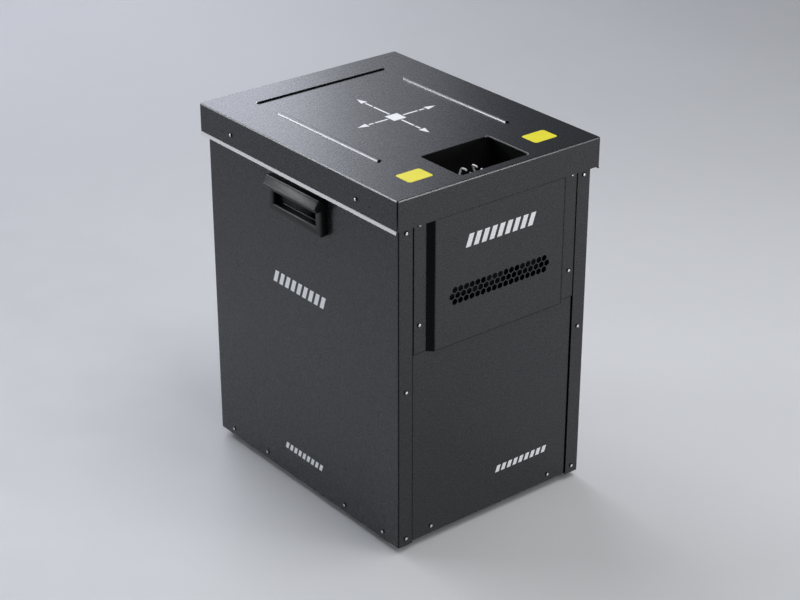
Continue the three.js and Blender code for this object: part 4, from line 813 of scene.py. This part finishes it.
# Coloured rings round the power sockets, and small screws at two corners of every socket
def socket_details():
    low, high, tall = SOCKET_RING["bore"], SOCKET_RING["radius"], SOCKET_RING["height"]
    profile = [(low, 0), (high, 0), (high, tall), (low, tall)]
    ring = turned("socket_ring", profile, steps=40, ring=True)
    across, up = SOCKET_SCREW["across"], SOCKET_SCREW["up"]
    small = Matrix.Scale(SOCKET_SCREW["scale"], 4)
    rings = {
        "power_inlet": blue_plastic, "power_outlet": pale_plastic,
        "signal_inlet": None, "signal_outlet": None,
    }
    for node, material in rings.items():
        box_low, box_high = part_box(node)
        x, z = (box_low.x + box_high.x) / 2, (box_low.z + box_high.z) / 2
        if material:
            add(f"ring_{node}", ring.copy(), material, facing("back", (x, box_high.y, z)))
        for i, sign in enumerate((-1, 1)):
            spot = (x + sign * across, box_high.y - SOCKET_SCREW["plate"], z + sign * up)
            matrix = facing("back", spot) @ small
            piece = add(f"screw_{node}_{i + 1}", screw, screw_steel, matrix)
            piece.modifiers.new("shading", "NODES").node_group = smooth_group


socket_details()


# Slot across the knob of the door's latch, drawn as a flat near-black mark: painted shade in place of the
# slot's hollow
def latch_slot():
    low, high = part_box("door_latch")
    place = facing("back", ((low.x + high.x) / 2, high.y, high.z - LATCH_SLOT["knob"]))
    width, length = LATCH_SLOT["width"], LATCH_SLOT["length"]
    mesh = slab("latch_slot", [rounded(width, length, width / 3)], 0, PRINT / 2)
    add("latch_slot", mesh, painted_hole_shade, place, "latch")


latch_slot()


# Floor, light and camera
def floor():
    reach = FLOOR["reach"]
    outline = [(-reach, -reach), (reach, -reach), (reach, reach), (-reach, reach)]
    mesh = slab("floor", [outline], -FLOOR["depth"], 0)
    plate = bpy.data.objects.new("floor", mesh)
    bpy.context.scene.collection.objects.link(plate)
    mesh.materials.append(surface("floor", (0.73, 0.735, 0.74), (0.76, 0.765, 0.77), (0.5, 0.6), patch=1.5))


def area_light(name, place, target, size, power, colour=(1, 1, 1), spread_degrees=180):
    light = bpy.data.lights.new(name, "AREA")
    light.shape = "RECTANGLE"
    light.size, light.size_y = size
    light.energy = power
    light.spread = math.radians(spread_degrees)
    light.color = colour
    lamp = bpy.data.objects.new(name, light)
    bpy.context.scene.collection.objects.link(lamp)
    lamp.visible_camera = False
    lamp.location = place
    lamp.rotation_mode = "QUATERNION"
    lamp.rotation_quaternion = (Vector(target) - Vector(place)).to_track_quat("-Z", "Y")


def studio():
    area_light("overhead", (0.8, -1.0, 3.2), (0.6, -0.8, 0), (2.0, 2.0), 38)
    area_light("lid_light", (0.55, 3.0, 1.80), (0, 0, 0.5), (2.7, 1.3), 46, (0.86, 0.89, 1.0))
    area_light("lid_edge_light", (2.0, 2.6, 1.90), (0, 0, 0.5), (0.5, 1.2), 1.6, (0.90, 0.92, 1.0))
    area_light("left_low_light", (-1.95, 1.95, 0.45), (0, 0, 0.45), (1.2, 0.6), 1.6, (0.94, 0.96, 1.0), 60)
    area_light("left_high_light", (-1.80, 1.95, 1.35), (0, 0, 0.48), (1.1, 0.5), 1.6, (0.94, 0.96, 1.0), 60)
    area_light("left_edge_light", (-0.25, 1.62, 2.00), (0, 0, 0.5), (1.9, 0.5), 2.4, (0.92, 0.94, 1.0), 60)
    area_light("front_low_light", (1.5, -2.45, 0.75), (0, 0, 0.4), (0.7, 0.5), 15)
    area_light("front_fill", (-0.1, -2.5, 2.3), (0.1, -0.5, 0.1), (1.6, 1.2), 17, (0.92, 0.95, 1.0))
    world = bpy.data.worlds.new("studio")
    world.use_nodes = True
    background = world.node_tree.nodes["Background"]
    background.inputs["Color"].default_value = (0.85, 0.90, 1.0, 1)
    background.inputs["Strength"].default_value = 0.10
    bpy.context.scene.world = world


def camera():
    lens = bpy.data.cameras.new("camera")
    lens.lens = CAMERA["lens"]
    lens.sensor_width = CAMERA["film"]
    lens.clip_end = CAMERA["far"]
    eye = bpy.data.objects.new("camera", lens)
    bpy.context.scene.collection.objects.link(eye)
    eye.location = CAMERA["place"]
    eye.rotation_mode = "QUATERNION"
    eye.rotation_quaternion = Vector(CAMERA["looks"]).to_track_quat("-Z", "Y")
    bpy.context.scene.camera = eye


floor()
studio()
camera()
bpy.context.scene.view_settings.view_transform = "Standard"
